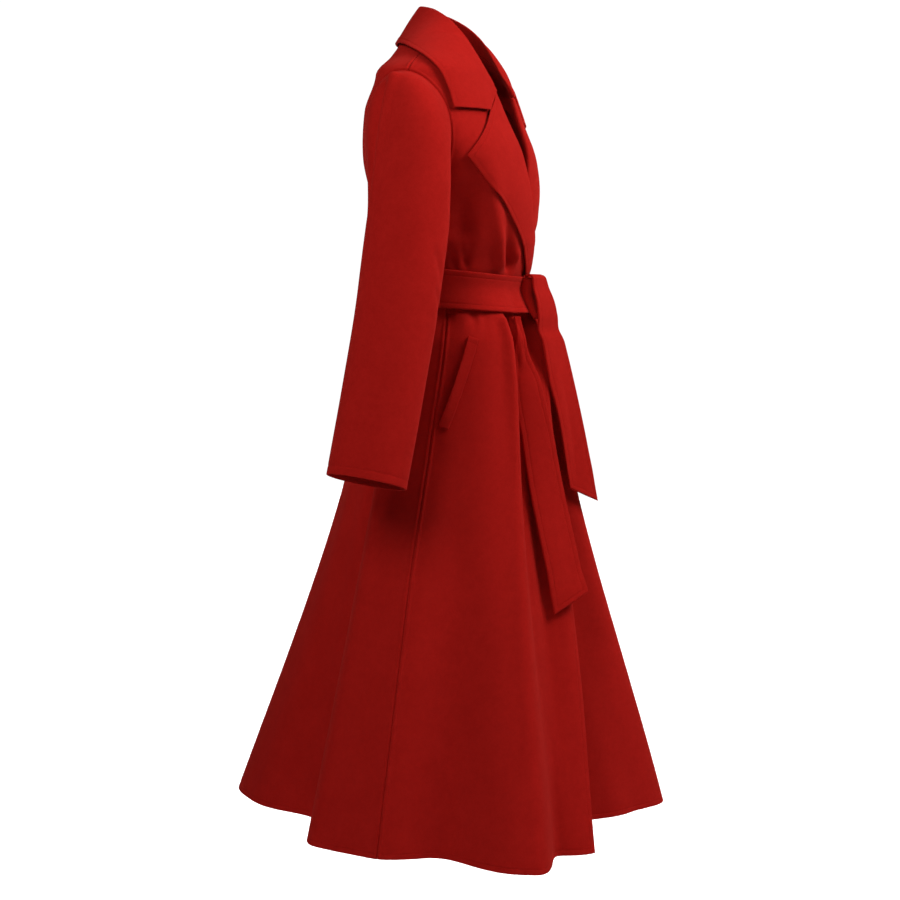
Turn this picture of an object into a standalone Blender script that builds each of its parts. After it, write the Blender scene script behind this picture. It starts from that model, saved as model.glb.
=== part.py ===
"""Belted wool coat in its worn form: cut panels, sleeves, collar, lapels, pockets and a tied belt.

Metres, +Z up. The wearer faces -Y and the wearer's right is -X. Height 0 is the neck point of the
shoulder seam. An angle runs round the body from centre front (0) towards the wearer's right (+90).
"""
import bmesh
import bpy
import numpy as np

# Cloth sizes
WALL = 0.0024
BELT_WALL = 0.0036
SEAM_GAP = 0.0004
SHOULDER_GAP = 0.0009
ARMHOLE_GAP = 0.0008
CLOTH_COLOUR = (0.238, 0.0062, 0.0052, 1.0)
CLOTH_ROUGHNESS = 0.92

# Heights that the tables share
WAIST = -0.376
HEM = -1.1765
ARMPIT = -0.254

# Rings of the worn form: height, half width, front depth, back depth, squareness
SECTIONS = {
    "height": (-1.230, -1.174, -0.705, -0.460, -0.412, -0.376, -0.340, -0.300, -0.250, -0.185,
               -0.120, -0.070, -0.035, 0.000, 0.012),
    "half": (0.330, 0.318, 0.216, 0.157, 0.1405, 0.1380, 0.1405, 0.154, 0.164, 0.186,
             0.195, 0.196, 0.137, 0.075, 0.054),
    "front": (0.302, 0.290, 0.188, 0.153, 0.1240, 0.1110, 0.1205, 0.1285, 0.130, 0.121,
              0.097, 0.080, 0.068, 0.050, 0.042),
    "back": (0.325, 0.306, 0.153, 0.099, 0.0785, 0.0770, 0.0785, 0.087, 0.093, 0.096,
             0.091, 0.073, 0.074, 0.072, 0.066),
    "square": (2.0, 2.0, 2.0, 2.1, 2.2, 2.2, 2.2, 2.4, 2.7, 3.2,
               3.0, 2.6, 2.2, 2.0, 2.0),
}

# Folds of the skirt, which start at the waist: angle at the waist, angle at the hem, width towards the
# front, width towards the back, depth at mid length, depth at the hem
SKIRT_FOLDS = (
    (36, 49, 14, 26, 0.020, 0.060),
    (18, 31, 13, 10, -0.016, 0.002),
    (8, 24, 12, 12, 0.004, 0.012),
    (112, 125, 20, 22, -0.022, -0.066),
    (150, 161, 20, 18, 0.013, 0.033),
    (180, 186, 16, 16, -0.010, -0.026),
    (-152, -158, 18, 20, 0.012, 0.030),
    (-114, -125, 20, 20, -0.020, -0.056),
    (-84, -90, 16, 16, 0.003, 0.008),
    (-40, -58, 20, 16, 0.015, 0.040),
    (-30, -37, 12, 12, -0.006, -0.014),
    (-14, -19, 14, 14, 0.020, 0.043),
)
FOLD_MIDDLE = 0.45

# Drop of the hem towards the front edge of each front, and its rise at the back
HEM_DROP = 0.021
LEFT_HEM_DROP = 0.003
HEM_DROP_FROM = 84
HEM_RISE_BACK = 0.012
HEM_RISE_ANGLES = (100, 160)

# Front edge of the right front and how far the panel stops short of the fold of its lapel
RIGHT_EDGE = {
    "height": (-1.230, -1.180, -0.830, -0.600, -0.420, -0.370, -0.3565, -0.289, -0.247, -0.204,
               -0.176, -0.142, -0.086, -0.045, -0.020, 0.000),
    "angle": (26.8, 25.6, 10.8, 1.0, -10.0, -13.0, -13.0, -2.0, 2.5, 6.0,
              9.0, 14.5, 26.6, 46.0, 66.0, 85.46),
    "short": (0.0, 0.0, 0.0, 0.0, 0.0, 0.0, 0.0084, 0.0084, 0.0084, 0.0084,
              0.0084, 0.0084, 0.0084, 0.0, 0.0, 0.0),
}

# Edge of the left front below the crossing of the lapels, where it runs on under the right front
LEFT_EDGE = {
    "height": (-1.230, -1.174, -0.830, -0.600, -0.420, -0.350, -0.300),
    "angle": (53.0, 52.0, 46.0, 40.0, 33.0, 24.0, 0.0),
}
CROSSING = -0.300

# Left front under the right one: how far in, over which angles ahead of the right edge, and heights
LAP_INSET = 0.011
LAP_INSET_ANGLES = (-42, -6)
LAP_INSET_HEIGHTS = (-0.15, -0.25)
LAP_HOLLOW_ANGLE = (2, 14)
LAP_HOLLOW_WIDTH = 22
LAP_HOLLOW_DEPTH = 0.055

# Left shoulder, drawn back in the worn pose: how far, and where that starts and is full
LEFT_BACK = 0.016
LEFT_BACK_SIDE = (0.02, 0.12)
LEFT_BACK_TOP = (0.03, -0.03)
LEFT_BACK_LOW = (-0.37, -0.25)

# Side seam between front and back
SIDE_SEAM = {
    "height": (-1.230, -1.174, -0.790, -0.600, -0.400, -0.320, -0.254),
    "angle": (87.0, 86.6, 82.0, 76.6, 70.0, 77.0, 88.26),
}

# Armhole, an ellipse from the side that lies on the form
ARMHOLE_CENTRE_Y = -0.005
ARMHOLE_HALF_DEPTH = 0.067
ARMHOLE_CENTRE_Z = -0.162
ARMHOLE_HALF_HEIGHT = 0.092
SHOULDER_SEAM_TURN = -9.0
SHOULDER_SHARE = 0.36

# Sleeve rings from armhole to cuff: outer path, inner path, middle, half depth
SLEEVE = {
    "station": (0.0, 0.05, 0.11, 0.20, 0.32, 0.52, 0.76, 1.0),
    "outer_x": (0.195, 0.213, 0.230, 0.250, 0.271, 0.302, 0.334, 0.362),
    "outer_z": (-0.070, -0.076, -0.097, -0.147, -0.232, -0.365, -0.505, -0.633),
    "inner_x": (0.165, 0.1705, 0.177, 0.185, 0.195, 0.219, 0.250, 0.280),
    "inner_z": (-0.254, -0.263, -0.277, -0.300, -0.335, -0.408, -0.530, -0.652),
    "middle_y": (-0.005, -0.010, -0.017, -0.025, -0.030, -0.028, -0.018, -0.005),
    "left_y": (-0.005, -0.004, 0.000, 0.008, 0.018, 0.030, 0.038, 0.044),
    "half_depth": (0.067, 0.067, 0.0655, 0.0625, 0.0605, 0.060, 0.059, 0.058),
}
CUFF_DROP = 0.010
CUFF_DROP_FROM = 0.5
SLEEVE_HEAD = 0.15
SLEEVE_CROWDING = 1.35

# Lapel: inner fold follows RIGHT_EDGE, outer edge from tip to break in angle and height
LAPEL_TOP = -0.086
LAPEL_NOTCH = (42.7, -0.119)
LAPEL_NOTCH_SHARE = 0.46
LAPEL_NOTCH_FADE = 0.30
LAPEL_EDGE = {
    "share": (0.0, 0.34, 0.68, 1.0),
    "angle": (61.0, 47.0, 24.0, -4.0),
    "height": (-0.188, -0.231, -0.285, -0.3525),
}
LAPEL_BREAK = -0.3565
LEFT_LAPEL_END = -0.296
GORGE_SHARE = 0.0075
GORGE_GAP = 0.0012
FOLD_LEG = 0.0080
FOLD_NOSE = 0.0029
LAPEL_LIFT = 0.0052
LAPEL_EDGE_LIFT = 0.0040

# Collar from centre back (0) to gorge (1): neck seam, fold line, outer edge
COLLAR = {
    "station": (0.0, 0.22, 0.42, 0.58, 0.72, 0.86, 0.94, 1.0),
    "neck_angle": (180, 150, 116, 85.46, 62, 45, 37, 31.6),
    "neck_height": (0.000, 0.000, 0.000, 0.000, -0.024, -0.048, -0.068, -0.086),
    "fold_x": (0.000, 0.024, 0.040, 0.050, 0.0585, 0.0570, 0.0505, 0.0428),
    "fold_y": (0.046, 0.037, 0.014, -0.012, -0.042, -0.064, -0.079, -0.0915),
    "fold_z": (0.049, 0.048, 0.042, 0.028, 0.001, -0.030, -0.058, -0.086),
    "edge_angle": (180, 152, 128, 106, 87, 74.3, 69.4, 67.0),
    "edge_height": (-0.010, -0.011, -0.014, -0.022, -0.040, -0.068, -0.098, -0.123),
}
COLLAR_SHOULDER = 0.58
COLLAR_SEAM_GAP = 0.0012
COLLAR_EDGE_LIFT = 0.0058
COLLAR_BULGE = 0.003
COLLAR_NOTCH_SHARE = 0.42
COLLAR_NOTCH_FROM = 0.80

# Pocket welt, from its top to its lower end
WELT_TOP = (55.5, -0.449)
WELT_LOW = (71.0, -0.578)
WELT_WIDTH = 0.016
WELT_WALL = 0.0022
WELT_CLEAR = 0.0008

# Belt
BELT_WIDTH = 0.058
BELT_HEIGHT_SIDE = -0.373
BELT_DIP_FRONT = 0.0135
BELT_RISE_BACK = 0.006
BELT_ENDS = (-5.0, 349.0)
BELT_CLEAR = 0.0024

# Knot: a packed wrap of cloth over the belt's ends
KNOT_ANGLE = -9.0
KNOT_FACE = 4.0
KNOT_HALF_WIDTH = 0.023
KNOT_HALF_HEIGHT = 0.0325
KNOT_DROP = 0.0052
KNOT_BACK = 0.0070
KNOT_RIM = 0.005
KNOT_CROWN = 0.0085
KNOT_TAPER = 0.45
KNOT_ROUNDING = 0.06
KNOT_SQUARENESS = 8

# Far tail, turned over the top of the knot and hanging down the left front: share of its length, angle
# and height of its middle, distance out from the form, angle that it faces, half width
FAR_TAIL = {
    "share": (0.0, 0.04, 0.08, 0.13, 0.20, 0.27, 0.34, 0.52, 0.76, 1.0),
    "angle": (-9, -9, -9, -9, -9, -9, -9.5, -11, -12, -12),
    "height": (-0.3565, -0.3561, -0.3574, -0.366, -0.388, -0.416, -0.446, -0.525, -0.615, -0.692),
    "out": (0.0095, 0.0160, 0.0230, 0.0280, 0.0330, 0.0245, 0.0065, 0.003, 0.0045, 0.0075),
    "face": (0, 2, 4, 6, 9, 11, 14, 22, 28, 32),
    "half": (0.022, 0.023, 0.024, 0.025, 0.0265, 0.0285, 0.029, 0.029, 0.029, 0.029),
}
FAR_TAIL_SLANT = 0.012

# Near tail, from under the belt down the right front
NEAR_TAIL = {
    "share": (0.0, 0.05, 0.12, 0.22, 0.42, 0.70, 1.0),
    "angle": (18, 20, 22, 22, 19.5, 17.8, 16.8),
    "height": (-0.4185, -0.440, -0.472, -0.520, -0.605, -0.725, -0.842),
    "out": (0.0065, 0.007, 0.008, 0.011, 0.013, 0.013, 0.012),
    "face": (60, 60, 58, 52, 46, 42, 42),
    "half": (0.005, 0.006, 0.011, 0.0225, 0.0265, 0.029, 0.029),
}
NEAR_TAIL_SLANT = -0.015
TAIL_LIFT = 0.0030
TAIL_SLANT_FROM = 0.86

# Mesh steps, and the flattest lie at which a piece is still lifted straight out from the body's axis
LEAST_SLOPE = 0.3
LOWER_ROWS = (HEM, -1.085, -0.985, -0.88, -0.775, -0.675, -0.58, -0.51, -0.455, -0.412, -0.376,
              LAPEL_BREAK, -0.330, -0.295, -0.254)
UPPER_ROWS = (-0.226, -0.198, -0.170, -0.142, -0.114, LAPEL_TOP, -0.070, -0.055, -0.040, -0.026, -0.012, 0.0)
FRONT_COLUMNS = 22
LEFT_COLUMNS = 25
BACK_COLUMNS = 32
SLEEVE_SIDES = 22
SLEEVE_RINGS = 14
COLLAR_BACK_COLUMNS = 8
NECK_SAMPLES = 400
NOSE_POINTS = 5
LAPEL_REACH = (0.06, 0.18, 0.32, LAPEL_NOTCH_SHARE, 0.60, 0.73, 0.86, 1.0)
COLLAR_REACH = (0.10, 0.20, 0.31, COLLAR_NOTCH_SHARE, 0.56, 0.70, 0.85, 1.0)
BELT_COLUMNS = 56
TAIL_ROWS = 21
TAIL_COLUMNS = 5
WELT_ROWS = 9
WELT_COLUMNS = 3
KNOT_STEPS = 9
BELT_ROWS = 4


def smooth(table, name, at, key):
    """Cubic curve through one column of a table, without overshoot, held level past its ends."""
    known = np.asarray(table[key], float)
    value = np.asarray(table[name], float)
    step = np.diff(known)
    rise = np.diff(value) / step
    product = rise[:-1] * rise[1:]
    total = np.where(product > 0, rise[:-1] + rise[1:], 1.0)
    slope = np.concatenate((rise[:1], np.where(product > 0, 2 * product / total, 0.0), rise[-1:]))
    at = np.clip(at, known[0], known[-1])
    i = np.clip(np.searchsorted(known, at) - 1, 0, len(step) - 1)
    t = (at - known[i]) / step[i]
    start = value[i] * (1 + 2 * t) * (1 - t) ** 2 + slope[i] * step[i] * t * (1 - t) ** 2
    return start + value[i + 1] * t * t * (3 - 2 * t) + slope[i + 1] * step[i] * t * t * (t - 1)


def ease(share):
    """Smooth step from 0 to 1."""
    share = np.clip(share, 0.0, 1.0)
    return share * share * (3 - 2 * share)


def between(value, start, full):
    """Smooth step that starts at one value and is full at another."""
    return ease((value - start) / (full - start))


def bump(offset):
    """Rounded bump of height 1 that ends at offsets -1 and 1."""
    return np.where(np.abs(offset) < 1, 0.5 + 0.5 * np.cos(np.pi * np.clip(offset, -1, 1)), 0.0)


def turned(angle):
    """Angle in degrees brought between -180 and 180."""
    return (angle + 180.0) % 360.0 - 180.0


def unit(vectors):
    return vectors / np.linalg.norm(vectors, axis=-1, keepdims=True)


def skirt_share(height):
    return np.clip((WAIST - height) / (WAIST - HEM), 0.0, 1.1)


def fold_depth(angle, height):
    """Radial depth of the skirt's folds at an angle in degrees."""
    share = skirt_share(height)
    depth = 0.0
    for at_waist, at_hem, before, after, at_middle, full in SKIRT_FOLDS:
        away = turned(angle - (at_waist + (at_hem - at_waist) * share))
        toward_back = away * np.sign(at_hem) > 0
        growth = (full - at_middle / FOLD_MIDDLE) / (1 - FOLD_MIDDLE)
        size = share * (full - growth + growth * share)
        depth = depth + size * bump(away / np.where(toward_back, after, before))
    return depth


def ring_sizes(height):
    return (smooth(SECTIONS, name, height, "height") for name in ("half", "front", "back", "square"))


def form(angle, height):
    """Outer face of the worn coat."""
    turn = np.radians(angle)
    half, front, back, square = ring_sizes(height)
    depth = np.where(np.cos(turn) > 0, front, back)
    across = (np.abs(np.sin(turn)) / half) ** square
    radius = (across + (np.abs(np.cos(turn)) / depth) ** square) ** (-1 / square) + fold_depth(angle, height)
    return np.stack((-radius * np.sin(turn), -radius * np.cos(turn), height + 0 * radius), axis=-1)


def left_form(angle, height):
    """Outer face of the left front, which sinks in where the right front laps over it."""
    edge = smooth(RIGHT_EDGE, "angle", height, "height")
    under = between(angle - edge, *LAP_INSET_ANGLES) * between(height, *LAP_INSET_HEIGHTS)
    share = skirt_share(height)
    middle = LAP_HOLLOW_ANGLE[0] + (LAP_HOLLOW_ANGLE[1] - LAP_HOLLOW_ANGLE[0]) * share
    hollow = LAP_HOLLOW_DEPTH * share * ease((angle - middle + LAP_HOLLOW_WIDTH) / LAP_HOLLOW_WIDTH)
    outer = form(angle, height)
    flat = outer * (1.0, 1.0, 0.0)
    return outer - unit(flat) * (LAP_INSET * under + hollow)[..., None]


def hem_shift(angle, height, drop):
    """Fall or rise of a lower row's height at an angle."""
    fall = drop * between(angle, HEM_DROP_FROM, 0)
    rise = HEM_RISE_BACK * between(np.abs(turned(angle)), *HEM_RISE_ANGLES)
    return skirt_share(height) ** 2 * (rise - fall)


def rested(points, lift, surface=form):
    """Points moved straight out from the body's axis where they lie closer to a surface than a lift."""
    flat = points * (1.0, 1.0, 0.0)
    angle = angle_of(points)
    ground = surface(angle, points[..., 2])
    slope = np.sum(outward(surface, angle, points[..., 2]) * unit(flat), axis=-1)
    need = np.linalg.norm(ground[..., :2], axis=-1) + lift / np.maximum(slope, LEAST_SLOPE)
    short = np.maximum(need - np.linalg.norm(flat, axis=-1), 0) * (points[..., 2] < 0)
    return points + unit(flat) * short[..., None]


def outward(surface, angle, height):
    """Unit normal of a surface given by angle and height."""
    turn_step = 0.1
    rise_step = 0.001
    round_it = surface(angle + turn_step, height) - surface(angle - turn_step, height)
    up_it = surface(angle, height + rise_step) - surface(angle, height - rise_step)
    return unit(np.cross(up_it, round_it))


def moved_out(surface, angle, height, lift):
    """Points of a surface moved out along its normal."""
    lift = np.asarray(lift)[..., None] if np.ndim(lift) else lift
    return surface(angle, height) + outward(surface, angle, height) * lift


def armhole(turn):
    """Point of the right armhole: turn 0 is its top, 90 its back, 180 its foot, 270 its front."""
    turn = np.radians(turn)
    y = ARMHOLE_CENTRE_Y + ARMHOLE_HALF_DEPTH * np.sin(turn)
    z = ARMHOLE_CENTRE_Z + ARMHOLE_HALF_HEIGHT * np.cos(turn)
    half, front, back, square = ring_sizes(z)
    share = np.abs(y) / np.where(y < 0, front, back)
    return np.stack((-half * (1 - share ** square) ** (1 / square), y, z), axis=-1)


def angle_of(points):
    return np.degrees(np.arctan2(-points[..., 0], -points[..., 1]))


def right_edge(height):
    """Angle where the right front panel ends."""
    angle = smooth(RIGHT_EDGE, "angle", height, "height")
    reach = np.linalg.norm(form(angle, height)[..., :2], axis=-1)
    return angle + np.degrees(smooth(RIGHT_EDGE, "short", height, "height") / reach)


def left_edge(height):
    """Angle where the left front panel ends: the mirrored lapel fold, then the under lap."""
    under = smooth(LEFT_EDGE, "angle", height, "height")
    return np.where(height > CROSSING, -right_edge(height), under)


def armhole_rows(turn):
    """Angle and height of the armhole's points."""
    points = armhole(turn)
    return angle_of(points), points[:, 2]


def front_grid(surface, inner, mirror, columns, drop):
    """Outer points and normals of a front, rows from hem to shoulder seam, columns from edge to side."""
    lower = np.array(LOWER_ROWS)
    upper = np.array(UPPER_ROWS)
    arm_angle, arm_height = armhole_rows(180 + (180 + SHOULDER_SEAM_TURN) * (1 - upper / ARMPIT))
    inner_height = np.concatenate((lower, upper))
    outer_height = np.concatenate((lower, arm_height))
    seam_gap = np.degrees(SEAM_GAP / 2 / np.linalg.norm(form(0.0, lower)[..., :2], axis=-1))
    outer_angle = np.concatenate((smooth(SIDE_SEAM, "angle", lower, "height") - seam_gap, arm_angle))
    across = np.linspace(0, 1, columns)
    edge = inner(inner_height)
    angle = edge[:, None] + (mirror * outer_angle - edge)[:, None] * across
    height = inner_height[:, None] + (outer_height - inner_height)[:, None] * across
    height = height + hem_shift(angle, height, drop)
    points = surface(angle, height)
    points[-1] += (0.0, -SHOULDER_GAP / 2, 0.0)
    return points, outward(surface, angle, height)


def back_grid():
    """Outer points and normals of the back, rows from hem to shoulder seams and neck."""
    lower = np.array(LOWER_ROWS)
    rise = 1 - np.array(UPPER_ROWS) / ARMPIT
    arm_angle, arm_height = armhole_rows(180 - (180 - SHOULDER_SEAM_TURN) * rise)
    middle_height = np.concatenate((lower, ARMPIT + (COLLAR["neck_height"][0] - ARMPIT) * rise))
    side_height = np.concatenate((lower, arm_height))
    seam_gap = np.degrees(SEAM_GAP / 2 / np.linalg.norm(form(0.0, lower)[..., :2], axis=-1))
    side_angle = np.concatenate((smooth(SIDE_SEAM, "angle", lower, "height") + seam_gap, arm_angle))
    arch = np.concatenate((0 * lower, rise ** 2))[:, None]
    half = np.linspace(0, 1, BACK_COLUMNS // 2 + 1)
    neck_share = (half - SHOULDER_SHARE) / (1 - SHOULDER_SHARE)
    turn = (1 - arch) * half + arch * np.clip(neck_share, 0, 1)
    climb = (1 - arch) * half + arch * np.clip(half / SHOULDER_SHARE, 0, 1)
    angle = side_angle[:, None] + (180 - side_angle)[:, None] * turn
    height = side_height[:, None] + (middle_height - side_height)[:, None] * climb
    angle = np.concatenate((angle, 360 - angle[:, -2::-1]), axis=1)
    height = np.concatenate((height, height[:, -2::-1]), axis=1)
    height = height + hem_shift(angle, height, 0.0)
    points = form(angle, height)
    points[-1] += (0.0, SHOULDER_GAP / 2, 0.0)
    return points, outward(form, angle, height)


def sleeve_grid(middle):
    """Outer points of a sleeve on the wearer's right, rings from armhole to cuff."""
    station = np.linspace(0, 1, SLEEVE_RINGS) ** SLEEVE_CROWDING
    degrees = np.arange(SLEEVE_SIDES) * 360.0 / SLEEVE_SIDES
    turn = np.radians(degrees)
    columns = ("outer_x", "outer_z", "inner_x", "inner_z", middle, "half_depth")
    outer_x, outer_z, inner_x, inner_z, middle_y, half_depth = (
        smooth(SLEEVE, name, station, "station")[:, None] for name in columns)
    x = -(outer_x + inner_x) / 2 - (outer_x - inner_x) / 2 * np.cos(turn)
    z = (outer_z + inner_z) / 2 + (outer_z - inner_z) / 2 * np.cos(turn)
    y = middle_y + half_depth * np.sin(turn)
    z = z + CUFF_DROP * np.sin(turn) * between(station[:, None], CUFF_DROP_FROM, 1)
    rings = np.stack((x, y, z), axis=-1)
    set_in = armhole(degrees) - (ARMHOLE_GAP, 0.0, 0.0) - rings[0]
    return rings + set_in * between(station, SLEEVE_HEAD, 0)[:, None, None]


def fold_profile():
    """Cross section of a turned edge: distance in from the fold line, height of the cloth's middle."""
    around = np.radians(np.linspace(-90, -270, NOSE_POINTS))
    nose_along = FOLD_NOSE * np.cos(around)
    nose_height = FOLD_NOSE - WALL / 2 + FOLD_NOSE * np.sin(around)
    along = np.concatenate(((FOLD_LEG, FOLD_LEG / 2), nose_along))
    height = np.concatenate(((-WALL / 2, -WALL / 2), nose_height))
    return along, height


def lapel_grid(surface, mirror, last_height):
    """Middle points of a lapel: rows down the fold line, columns from inner leg round to outer edge."""
    rows = np.array(LOWER_ROWS + UPPER_ROWS)
    rows = rows[(rows >= last_height) & (rows <= LAPEL_TOP)][::-1]
    share = (rows[:, None] - LAPEL_TOP) / (LAPEL_BREAK - LAPEL_TOP)
    share[0] = GORGE_SHARE
    fold_height = LAPEL_TOP + (LAPEL_BREAK - LAPEL_TOP) * share
    fold_angle = smooth(RIGHT_EDGE, "angle", fold_height, "height")
    edge_angle = smooth(LAPEL_EDGE, "angle", share, "share")
    edge_height = smooth(LAPEL_EDGE, "height", share, "share")
    notch_share = LAPEL_NOTCH_SHARE
    bend = np.clip(1 - share / LAPEL_NOTCH_FADE, 0, 1) ** 2
    along, lift = fold_profile()
    reach = np.array(LAPEL_REACH)
    line_angle = fold_angle + (edge_angle - fold_angle) * reach
    line_height = fold_height + (edge_height - fold_height) * reach
    kink = 1 - np.abs(reach - notch_share) / np.where(reach < notch_share, notch_share, 1 - notch_share)
    top_angle = smooth(RIGHT_EDGE, "angle", LAPEL_TOP, "height")
    straight_angle = top_angle + (LAPEL_EDGE["angle"][0] - top_angle) * notch_share
    straight_height = LAPEL_TOP + (LAPEL_EDGE["height"][0] - LAPEL_TOP) * notch_share
    line_angle = line_angle + bend * kink * (LAPEL_NOTCH[0] - straight_angle)
    line_height = line_height + bend * kink * (LAPEL_NOTCH[1] - straight_height)
    lift_line = LAPEL_LIFT + (LAPEL_EDGE_LIFT - LAPEL_LIFT) * reach + 0 * share
    radius = np.linalg.norm(form(fold_angle, fold_height)[..., :2], axis=-1)
    angle = np.concatenate((fold_angle + np.degrees(along / radius), line_angle), axis=1)
    height = np.concatenate((fold_height + 0 * along, line_height), axis=1)
    lift = np.concatenate((lift + 0 * share, lift_line), axis=1)
    return moved_out(surface, mirror * angle, height, lift)


def collar_half(surface, mirror):
    """Middle points of half the collar: columns from centre back to gorge, rows from neck to outer edge."""
    fine = np.linspace(COLLAR_SHOULDER, 1, NECK_SAMPLES)
    between_rows = [height for height in UPPER_ROWS if LAPEL_TOP < height < 0]
    front_rows = np.array([LAPEL_TOP + GORGE_GAP] + between_rows)
    front = np.sort(np.interp(-front_rows, -smooth(COLLAR, "neck_height", fine, "station"), fine))
    station = np.concatenate((np.linspace(0, COLLAR_SHOULDER, COLLAR_BACK_COLUMNS), front))
    value = {name: smooth(COLLAR, name, station, "station") for name in COLLAR if name != "station"}
    neck_angle = np.where(value["neck_height"] < 0, right_edge(value["neck_height"]), value["neck_angle"])
    normal = outward(surface, mirror * neck_angle, value["neck_height"])
    seam = surface(mirror * neck_angle, value["neck_height"]) - normal * WALL / 2
    fold = np.stack((-mirror * value["fold_x"], value["fold_y"], value["fold_z"]), axis=-1)
    edge = moved_out(surface, mirror * value["edge_angle"], value["edge_height"], COLLAR_EDGE_LIFT)
    stand = unit(seam - fold)
    fall = unit(edge - fold)
    spread = unit(fall - stand)
    top = -unit(stand + fall)
    top = unit(top - spread * np.sum(top * spread, axis=1, keepdims=True))
    centre = fold - top * FOLD_NOSE
    foot = seam - stand * COLLAR_SEAM_GAP
    rows = [foot, foot + (centre - spread * FOLD_NOSE - foot) * 0.5]
    for around in np.radians(np.linspace(180, 0, NOSE_POINTS)):
        rows.append(centre + FOLD_NOSE * (spread * np.cos(around) + top * np.sin(around)))
    start = centre + spread * FOLD_NOSE
    notch = moved_out(surface, mirror * LAPEL_NOTCH[0], LAPEL_NOTCH[1], LAPEL_LIFT)
    notch_share = COLLAR_NOTCH_SHARE
    bend = between(station, COLLAR_NOTCH_FROM, 1)[:, None]
    bend_to = notch - (start[-1] + (edge[-1] - start[-1]) * notch_share)
    out = unit(spread + top)
    for reach in COLLAR_REACH:
        kink = 1 - abs(reach - notch_share) / (notch_share if reach < notch_share else 1 - notch_share)
        crown = COLLAR_BULGE * 4 * reach * (1 - reach) * (1 - bend)
        line = start + (edge - start) * reach + out * crown + bend * kink * bend_to
        rows.append(rested(line, COLLAR_EDGE_LIFT, surface))
    return np.stack(rows, axis=0)


def collar_grid():
    """Middle points of the collar: columns from right gorge round to left."""
    right = collar_half(form, 1)
    left = collar_half(left_form, -1)
    return np.concatenate((right[:, ::-1], left[:, 1:]), axis=1)


def welt_grid(mirror):
    """Middle points of a pocket welt laid on the front."""
    down = np.linspace(0, 1, WELT_ROWS)[:, None]
    angle = WELT_TOP[0] + (WELT_LOW[0] - WELT_TOP[0]) * down
    height = WELT_TOP[1] + (WELT_LOW[1] - WELT_TOP[1]) * down
    reach = np.linalg.norm(form(angle, height)[..., :2], axis=-1)
    across = np.linspace(-0.5, 0.5, WELT_COLUMNS) * WELT_WIDTH
    slant = np.arctan2(np.radians(WELT_LOW[0] - WELT_TOP[0]) * reach.mean(), WELT_TOP[1] - WELT_LOW[1])
    angle = angle + np.degrees(across * np.cos(slant) / reach)
    height = height + across * np.sin(slant)
    return moved_out(form, mirror * angle, height, WELT_CLEAR + WELT_WALL / 2 + 0 * angle)


def belt_middle(angle):
    """Height of the belt's middle round the waist."""
    facing = np.cos(np.radians(angle))
    return BELT_HEIGHT_SIDE - BELT_DIP_FRONT * np.maximum(facing, 0) + BELT_RISE_BACK * np.maximum(-facing, 0)


def belt_grid():
    """Middle points of the belt round the waist."""
    angle = np.linspace(BELT_ENDS[0], BELT_ENDS[1], BELT_COLUMNS)[:, None]
    height = belt_middle(angle) + np.linspace(-0.5, 0.5, BELT_ROWS) * BELT_WIDTH
    return moved_out(form, angle + 0 * height, height, BELT_CLEAR + BELT_WALL / 2 + 0 * height)


def facing(angle):
    """Level unit vectors that look out at an angle, and along a panel towards the wearer's right."""
    turn = np.radians(angle)
    ahead = np.stack((-np.sin(turn), -np.cos(turn), 0 * turn), axis=-1)
    along = np.stack((-np.cos(turn), np.sin(turn), 0 * turn), axis=-1)
    return ahead, along


def tail_grid(tail, slant):
    """Middle points of a belt end: rows down its length, columns across it."""
    share = np.linspace(0, 1, TAIL_ROWS)[:, None]
    value = {name: smooth(tail, name, share, "share") for name in tail if name != "share"}
    across = np.linspace(-1, 1, TAIL_COLUMNS)
    ahead, _ = facing(value["angle"])
    _, along = facing(value["face"])
    middle = form(value["angle"], value["height"]) + ahead * value["out"][..., None]
    points = middle + along * (across * value["half"])[..., None]
    points[..., 2] += across * slant * between(share, TAIL_SLANT_FROM, 1)
    return rested(points, TAIL_LIFT)


def knot_faces():
    """Front and back points of the knot, which lies over the belt's ends."""
    up = np.linspace(-1, 1, KNOT_STEPS)[:, None]
    across = np.linspace(-1, 1, KNOT_STEPS)
    height = np.float64(belt_middle(KNOT_ANGLE) - KNOT_DROP)
    ahead, _ = facing(np.float64(KNOT_ANGLE))
    _, along = facing(np.float64(KNOT_FACE))
    sideways = across * KNOT_HALF_WIDTH * (1 - KNOT_ROUNDING * up ** 2)
    upward = up * KNOT_HALF_HEIGHT * (1 - KNOT_ROUNDING * across ** 2)
    flat = form(np.float64(KNOT_ANGLE), height) + along * sideways[..., None]
    flat = flat + np.array((0.0, 0.0, 1.0)) * upward[..., None]
    back = rested(flat, KNOT_BACK)
    crown = np.sqrt((1 - up ** KNOT_SQUARENESS) * (1 - across ** KNOT_SQUARENESS))
    return back + ahead * (KNOT_RIM + KNOT_CROWN * (1 + KNOT_TAPER * up) * crown)[..., None], back


def grid_normals(points, wrapped=False):
    """Normals of a grid of points, rows by columns."""
    if wrapped:
        across = np.roll(points, -1, axis=1) - np.roll(points, 1, axis=1)
    else:
        across = np.gradient(points, axis=1)
    return unit(np.cross(np.gradient(points, axis=0), across))


def tube_normals(points):
    """Normals of a tube of rings that point out of it."""
    normals = grid_normals(points, wrapped=True)
    facing = np.sum(normals * (points - points.mean(axis=1, keepdims=True)), axis=-1).mean()
    return normals * np.sign(facing)


def cloth_material(name):
    material = bpy.data.materials.new(name)
    material.use_nodes = True
    shader = material.node_tree.nodes["Principled BSDF"]
    shader.inputs["Base Color"].default_value = CLOTH_COLOUR
    shader.inputs["Roughness"].default_value = CLOTH_ROUGHNESS
    shader.inputs["Metallic"].default_value = 0.0
    return material


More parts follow.
